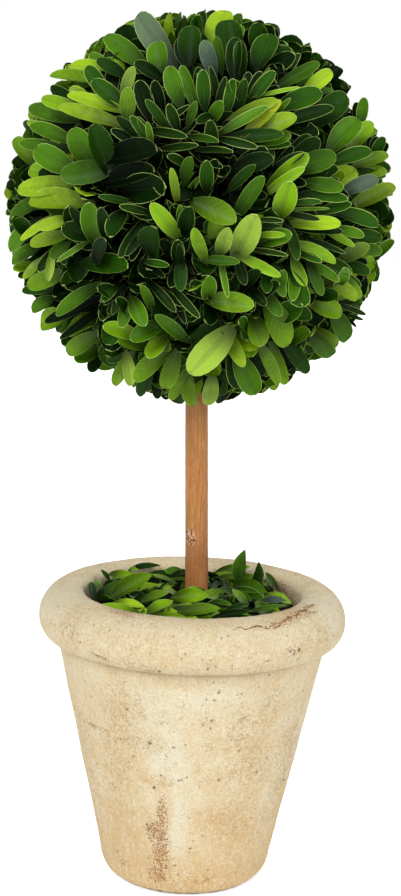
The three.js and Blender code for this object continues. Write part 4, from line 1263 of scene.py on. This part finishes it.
def leaf_finish(name, deeper, colour, roughness):
    """A preserved leaf: dyed, soaked in glycerine and satin to the touch, with fine side veins,
    painted shade along the midrib and towards the foot, and painted light towards the tip.
    """
    finish = Finish(name, specular_ior_level=0.05 + 0.4 * min(colour[1], 0.4))
    cloud = finish.speckle(5 * MM, 3, 0.6)
    pores = finish.speckle(0.9 * MM, 2, 0.6)
    along = finish.mark("along")
    aside = abs(finish.mark("across"))
    lighter = shaded(colour, 1.60, 1.47, 1.0)
    veined = shaded(colour, 1.9, 1.5, 1.5)
    light = cloud * 0.6 + finish.mark("shade") * 0.7
    side_vein = finish.ease((along * 8 - aside * 1.5).zigzag(0.5), 0.36, 0.5)
    colour = finish.layered(
        deeper,
        (finish.ease(light, 0.30, 1.0), lighter),
        (side_vein * 0.20, veined),
        # Painted shade along the midrib's valley, painted light towards the tip, and painted shade towards
        # the foot, where other leaves cover it
        (finish.ease(aside, 0.30, 0.06) * 0.35, deeper),
        (finish.ease(along, 0.60, 1.0) * 0.35, lighter),
        (finish.ease(along, 0.68, 0.12) * 0.92, shaded(deeper, 0.28)),
    )
    finish.coat(base_color=colour, roughness=roughness + pores * 0.18)
    finish.coat(normal=finish.relief(pores + side_vein * 0.5, 0.14 * MM, 0.6))
    return finish


def paler(colour, share):
    """A colour part of the way to the pale green of a leaf's edge and midrib."""
    return tuple(part + (whole - part) * share for part, whole in zip(colour, EDGE_GREEN))


def make_leaves(group_name, leaves, outline, edge_share, replaced, slot):
    """The faces, backs, rims and midribs of a group of leaves, one piece of each for every tint.
    Each part has its build, its deeper and its own colour, and its roughness."""
    for name, colour in LEAF_TINTS.items():
        own = [leaf for leaf in leaves if leaf.tint == name]
        if not own:
            continue
        back, rib = paler(colour, 0.4 * colour[1]), paler(colour, 0.04 + 0.7 * colour[1])
        parts = [
            ("faces", leaf_faces, shaded(colour, 0.55), colour, 0.32),
            ("backs", leaf_backs, shaded(back, 0.6), back, 0.48),
            ("rims", leaf_rims, shaded(colour, 0.9), paler(colour, edge_share), 0.40),
            ("ribs", leaf_ribs, shaded(rib, 0.6), rib, 0.40),
        ]
        for part, build, deeper, shade, roughness in parts:
            piece_name = f"{group_name}_{name}_{part}"
            finish = leaf_finish(piece_name, deeper, shade, roughness)
            points, faces, along, across = build(own, outline)
            marks = {
                "along": np.tile(along, len(own)),
                "across": np.tile(across, len(own)),
                "shade": np.repeat([leaf.shade for leaf in own], len(along)),
            }
            make_piece(piece_name, *for_every(points, faces), finish, replaced, slot, marks)


make_leaves("ball_leaf", ball_leaves, blunt_width, BALL_EDGE_SHARE, "ball_foliage", "box_leaf")

# The twigs of the ball: green-brown shoots under 2 mm thick, tapering to their tips. They carry the
# leaves, and their feet are pushed into the moss.
TWIG_SIDES = 5
TWIG_ROWS = np.linspace(0, 1, 4)
TWIG_FOOT_RADIUS = 0.75 * MM
TWIG_TAPER = 0.6
SHOOT_DARK = (0.05, 0.06, 0.015)
SHOOT_LIGHT = (0.16, 0.15, 0.05)

angles = 2 * math.pi * np.arange(TWIG_SIDES) / TWIG_SIDES
along, around = (part.ravel() for part in np.meshgrid(TWIG_ROWS, angles, indexing="ij"))
radii = TWIG_FOOT_RADIUS * (1 - TWIG_TAPER * along)
lengths = np.array([length for _, length in ball_twigs])[:, None]
bases = [base for base, _ in ball_twigs]
twig_points = placed(bases, radii * np.cos(around), lengths * along, -radii * np.sin(around))
shoot_skin = mottled("shoot_skin", (1.5 * MM, 3, 0.6), 0.2 * MM, SHOOT_DARK, SHOOT_LIGHT, 0.6, 0.35)
twig_faces = grid_faces(len(TWIG_ROWS), TWIG_SIDES, True)
make_piece("ball_twigs", *for_every(twig_points, twig_faces), shoot_skin, "ball_foliage", "box_leaf")

# The moss ball that the sprigs are pinned to: dry moss bound on a foam core, lumpy and dark between
# the leaves. The stick runs up into it.
MOSS_RADIUS = 60 * MM
MOSS_LUMP = 2.4 * MM
MOSS_LUMP_COUNT = 7
MOSS_DARK = (0.004, 0.009, 0.002)
MOSS_LIGHT = (0.018, 0.030, 0.008)

moss_form = bmesh.new()
bmesh.ops.create_icosphere(moss_form, subdivisions=6, radius=1)
moss_points = []
for vertex in moss_form.verts:
    out = vertex.co.normalized()
    lump = noise.fractal(out * MOSS_LUMP_COUNT, 0.8, 2, 4)
    moss_points.append(BALL_CENTRE + out * (MOSS_RADIUS + lump * MOSS_LUMP))
moss_faces = np.array([[vertex.index for vertex in face.verts] for face in moss_form.faces])
moss_form.free()
moss = mottled("ball_moss", (2 * MM, 4, 0.7), 1 * MM, MOSS_DARK, MOSS_LIGHT)
make_piece("moss_ball", np.array(moss_points), [moss_faces], moss, "ball_foliage", "box_leaf")

# The loose leaves: longer, pointed leaves strewn over a mat of crumbled moss that hides the fill.
# They lie in a low heap up to the pot's mouth, with a crumpled pair standing up at the back.
MAT_RADIUS = 49.2 * MM
MAT_HOLE_RADIUS = 5 * MM
MAT_HOLLOW = 8.2
MAT_MIDDLE_HEIGHT = 134.5
MAT_EDGE_HEIGHT = 130.5
MAT_REACH = 47
MAT_DEPTH = 3 * MM
MAT_SINK = 1.5 * MM
MAT_LUMP_SIZE, MAT_LUMP_RISE = 5 * MM, 1.1 * MM
MAT_RINGS = 40
MAT_TURNS = 220
# The heap is laid in layers from near the stick out to the mouth, in millimetres
HEAP_LAYERS = 3
HEAP_LAYER_HEIGHT = 1.1
HEAP_LAYER_TURN = 2.1
HEAP_COUNT = 42
HEAP_SEED = 1000
HEAP_INNER = 9
HEAP_OUTER = 44
HEAP_REACH = 49
HEAP_CLEARANCE = 7.5
# Least and greatest length and slimness of a leaf, and how its foot is sunk and its tip raised
HEAP_LENGTHS = (18, 25)
HEAP_SLIMNESS = (0.28, 0.38)
HEAP_SINK = 0.8
HEAP_TIP_RISES = (0.5, 3)
# How often a leaf that would touch the wall or the stick is turned, and how far each time
HEAP_TRIES = 12
HEAP_TURN = 0.9
HEAP_RUN_SHARE = 0.97
HEAP_FOLD = 0.16
HEAP_TILT = 0.7
HEAP_FRONT_TILT = 0.3
HEAP_WOBBLE = 0.18
# Painted light: how much lighter every leaf of the heap is made
HEAP_PAINTED_LIGHT = 0.3
HEAP_EDGE_SHARE = 0.30
# Parts of the heap where leaves are brighter or darker: place, spread and change
LOOSE_TINT_PLACES = [
    ((-26, -38), 22, 0.45),
    ((-2, -42), 14, 0.35),
    ((26, 22), 16, 0.25),
    ((22, -30), 20, -0.25),
    ((-40, 5), 18, -0.35),
    ((-5, 10), 22, -0.20),
]
# Leaves laid one by one on the heap, as on the ball
TOP_LEAVES = {
    "dark": [
        (-32.8, 36, 136.8, -16.7, 45.8, 137.1, 4.6), (7.9, -45.4, 136.1, 26.8, -35.5, 137.2, 3),
    ],
    "green": [
        (-40.2, 11.7, 136.6, -45.1, 18.6, 141.1, 2.8), (-46.3, -15.4, 134.6, -48.7, 2.8, 139.5, 3.7),
        (11.3, 14.8, 138.5, 8.9, -8.9, 135.7, 3.3), (14.2, 15.9, 138.4, 16.9, -7.6, 134.7, 4.4),
        (14.2, -37.2, 136.8, 26.2, -25.1, 138.2, 3.6),
    ],
    "fresh": [
        (-48.7, -3.5, 130.4, -26.4, 2.2, 140.4, 7), (-4.3, 27.2, 137.9, -14.8, 33.1, 138.2, 5.1),
        (-43.3, -5.3, 136.4, -47.8, 9.9, 137.7, 2.7), (7.4, -25.3, 138, 18.3, -31.4, 138.2, 3.1),
        (18.4, 8.3, 138.4, 34.7, -4.3, 138.3, 8.2), (40.9, 4.8, 136.7, 35.4, 27.9, 139.6, 3.3),
        (37, 4.6, 137.1, 33.5, 26.1, 137.5, 2.7), (23.7, -36.2, 136.4, 43.3, -22.5, 137.6, 2.6),
    ],
    "bright": [
        (-39.1, -19.5, 136.3, -19.4, -9.6, 146, 7.9), (-42, 24.7, 137.3, -26.2, 10.1, 138.9, 5.1),
        (8, -9, 137.4, -5.5, -9.5, 138.6, 4.9), (9.5, 33.9, 137.3, 27.9, 40, 139.5, 5.1),
        (8.9, 19, 138.4, 33.2, 20.2, 140.4, 3.3), (25.2, -29.3, 136.9, 18.6, -7.2, 139.4, 4.7),
        (-32.5, 30.1, 136.3, -28, 39.9, 137.6, 3.4), (-24, -27.7, 137.1, -11.2, -15.2, 139.5, 4.7),
        (-20.6, -43.1, 135.8, -8.9, -29.7, 138.7, 6.6), (-18.7, -45, 135.5, -2.7, -47.8, 136.8, 3),
        (-21.4, -43.8, 135.1, -41.9, -24.9, 135.8, 4.6), (-10.5, -21.1, 138.2, 7.4, -19.6, 139.4, 7.4),
        (-7.3, -40.9, 136.6, 12.8, -35.2, 138.1, 6.1),
    ],
    "pale": [
        (-7.3, 2.9, 138.9, -20.9, 22.6, 139, 2.2),
    ],
    "frosted": [
        (31.5, -17.2, 137.2, 43.7, -15, 137, 4.8),
    ],
}
TOP_FACING = Vector((0, -0.75, 0.66))
TOP_FOLD = 0.26
TOP_WOBBLE = 0.25
# The pair that stands up at the back: numbers, facing, fold and tint
STANDING_LEAVES = [
    ((25.0, 14.0, 133.5, 24.2, 17.5, 153.6, 8.0), (-0.9, -1, 0), 0.55, "fresh"),
    ((27.0, 15.0, 134.0, 31.0, 17.0, 148.0, 7.0), (0.8, -1, 0.2), 0.40, "green"),
]


def mat_height(radius):
    """The height of the moss at a distance from the pot's axis: a low mound."""
    share = (radius - MAT_HOLLOW) / (MAT_REACH - MAT_HOLLOW)
    return MAT_MIDDLE_HEIGHT + (MAT_EDGE_HEIGHT - MAT_MIDDLE_HEIGHT) * share * share


def pointed_width(along, widest=0.46):
    """Half width of a longer leaf: full in the middle and pointed at both ends."""
    base = np.sin(np.minimum(along / widest, 1) * math.pi / 2)
    return base**0.8 * (1 - np.maximum(0, (along - widest) / (1 - widest)) ** 2.4)


def heap_leaf(radius, bearing, layer, draw):
    """A leaf that lies on the heap and stays clear of the pot's wall and the stick."""
    size = between(draw, *HEAP_LENGTHS)
    foot = Vector((radius * math.cos(bearing), radius * math.sin(bearing)))
    heading = draw() * 2 * math.pi
    for _ in range(HEAP_TRIES):
        tip = foot + Vector((math.cos(heading), math.sin(heading))) * size * HEAP_RUN_SHARE
        nearest = foot - (tip - foot) * max(-1, min(0, foot.dot(tip - foot) / size**2))
        if tip.length < HEAP_REACH and nearest.length > HEAP_CLEARANCE:
            break
        heading += HEAP_TURN
    else:
        return
    rise = layer * HEAP_LAYER_HEIGHT
    low = mat_height(foot.length) + rise - HEAP_SINK
    high = mat_height(tip.length) + rise + between(draw, *HEAP_TIP_RISES)
    facing = Vector((either(draw, HEAP_TILT), either(draw, HEAP_TILT) - HEAP_FRONT_TILT, 1))
    middle = (foot + tip) / 2
    light = draw() + HEAP_PAINTED_LIGHT
    for place, spread, change in LOOSE_TINT_PLACES:
        apart = (middle - Vector(place)).length / spread
        light += change * math.exp(-apart * apart)
    numbers = (*foot, low, *tip, high, size * between(draw, *HEAP_SLIMNESS))
    loose_leaves.append(laid_leaf(numbers, facing, HEAP_WOBBLE, HEAP_FOLD, grown_tint(light), draw))


loose_leaves = []
for layer in range(HEAP_LAYERS):
    for index in range(HEAP_COUNT):
        draw = stream(HEAP_SEED * (layer + 1) + index)
        radius = HEAP_INNER + (HEAP_OUTER - HEAP_INNER) * math.sqrt((index + 0.5) / HEAP_COUNT)
        heap_leaf(radius, index * GOLDEN_ANGLE + layer * HEAP_LAYER_TURN, layer, draw)
draw = stream(HEAP_SEED)
for tint, places in TOP_LEAVES.items():
    for numbers in places:
        loose_leaves.append(laid_leaf(numbers, TOP_FACING, TOP_WOBBLE, TOP_FOLD, tint, draw))
for numbers, facing, fold, tint in STANDING_LEAVES:
    loose_leaves.append(laid_leaf(numbers, Vector(facing), 0, fold, tint, draw))
make_leaves("loose_leaf", loose_leaves, pointed_width, HEAP_EDGE_SHARE, "loose_leaves", "loose_leaf")

mat_points = []
for ring in range(MAT_RINGS):
    share = ring / (MAT_RINGS - 1)
    radius = MAT_HOLE_RADIUS + (MAT_RADIUS - MAT_HOLE_RADIUS) * share
    aside = STICK_FOOT.x * (1 - share)
    for step in range(MAT_TURNS):
        angle = 2 * math.pi * step / MAT_TURNS
        flat = Vector((radius * math.cos(angle) + aside, radius * math.sin(angle), 0))
        lump = noise.fractal(flat / MAT_LUMP_SIZE, 0.8, 2, 4) * MAT_LUMP_RISE
        mat_points.append((flat.x, flat.y, mat_height(radius / MM) * MM - MAT_SINK + lump))
mat_points = np.array(mat_points)
under = mat_points - np.array([0, 0, MAT_DEPTH])
mat_faces = grid_faces(MAT_RINGS, MAT_TURNS, True)
mat_sides = [mat_faces, mat_faces[:, ::-1] + len(mat_points)]
mat_points = np.concatenate([mat_points, under])
make_piece("moss_mat", mat_points, mat_sides, fill_moss, "loose_leaves", "loose_leaf")

# The studio: a plain pale floor, a white surround, a broad soft light from the upper left in front,
# and weaker ones from the right and from behind.
FLOOR_RADIUS = 8
FLOOR_SIDES = 96
FLOOR_GREY = (0.83, 0.83, 0.83)
FLOOR_WHITE = (0.86, 0.86, 0.855)
FLOOR_GLOW = 0.62
SURROUND_LIGHT = 0.44
WHITE = (1.0, 1.0, 1.0)
HALF_WHITE = (0.5, 0.5, 0.5)
LIGHT_SPREAD = math.radians(30)
# Where each light stands as seen from the pot, and its strength
LIGHTS = {
    "key_light": ((-0.6, -1.2, 0.95), 1.81),
    "fill_light": ((1.2, -0.9, 0.8), 0.97),
    "back_light": ((0.3, 1.2, 1.0), 0.45),
}

floor_mesh = bpy.data.meshes.new("floor")
angles = 2 * math.pi * np.arange(FLOOR_SIDES) / FLOOR_SIDES
rim = np.stack([FLOOR_RADIUS * np.cos(angles), FLOOR_RADIUS * np.sin(angles), 0 * angles], 1)
floor_mesh.from_pydata(rim.tolist(), [], [list(range(FLOOR_SIDES))])
floor = bpy.data.objects.new("floor", floor_mesh)
floor_paint = Finish("floor_paint", roughness=0.9, specular_ior_level=0.1, emission_strength=FLOOR_GLOW)
wash = floor_paint.speckle(400 * MM, 2, 0.5)
floor_paint.coat(base_color=floor_paint.tint(wash, FLOOR_GREY, FLOOR_WHITE))
straight = floor_paint.node("ShaderNodeLightPath", {}, {}, "Is Camera Ray")
floor_paint.coat(emission_color=floor_paint.tint(straight, HALF_WHITE, WHITE))
floor_mesh.materials.append(floor_paint.material)
bpy.context.scene.collection.objects.link(floor)

for name, (place, strength) in LIGHTS.items():
    lamp = bpy.data.lights.new(name, "SUN")
    lamp.angle = LIGHT_SPREAD
    lamp.energy = strength
    light = bpy.data.objects.new(name, lamp)
    light.location = place
    light.rotation_euler = (-Vector(place)).to_track_quat("-Z", "Y").to_euler()
    bpy.context.scene.collection.objects.link(light)

surround = bpy.data.worlds.new("surround")
surround.use_nodes = True
bpy.context.scene.world = surround
sky = Nodes(surround.node_tree)
lit = sky.node("ShaderNodeBackground", {}, {"Color": WHITE, "Strength": SURROUND_LIGHT})
seen = sky.node("ShaderNodeBackground", {}, {"Color": WHITE, "Strength": 1})
straight = sky.node("ShaderNodeLightPath", {}, {}, "Is Camera Ray")
shown = sky.node("ShaderNodeMixShader", {}, {0: straight, 1: lit, 2: seen})
sky.join(sky.tree.nodes["World Output"].inputs["Surface"], shown)
bpy.context.scene.view_settings.view_transform = "Standard"
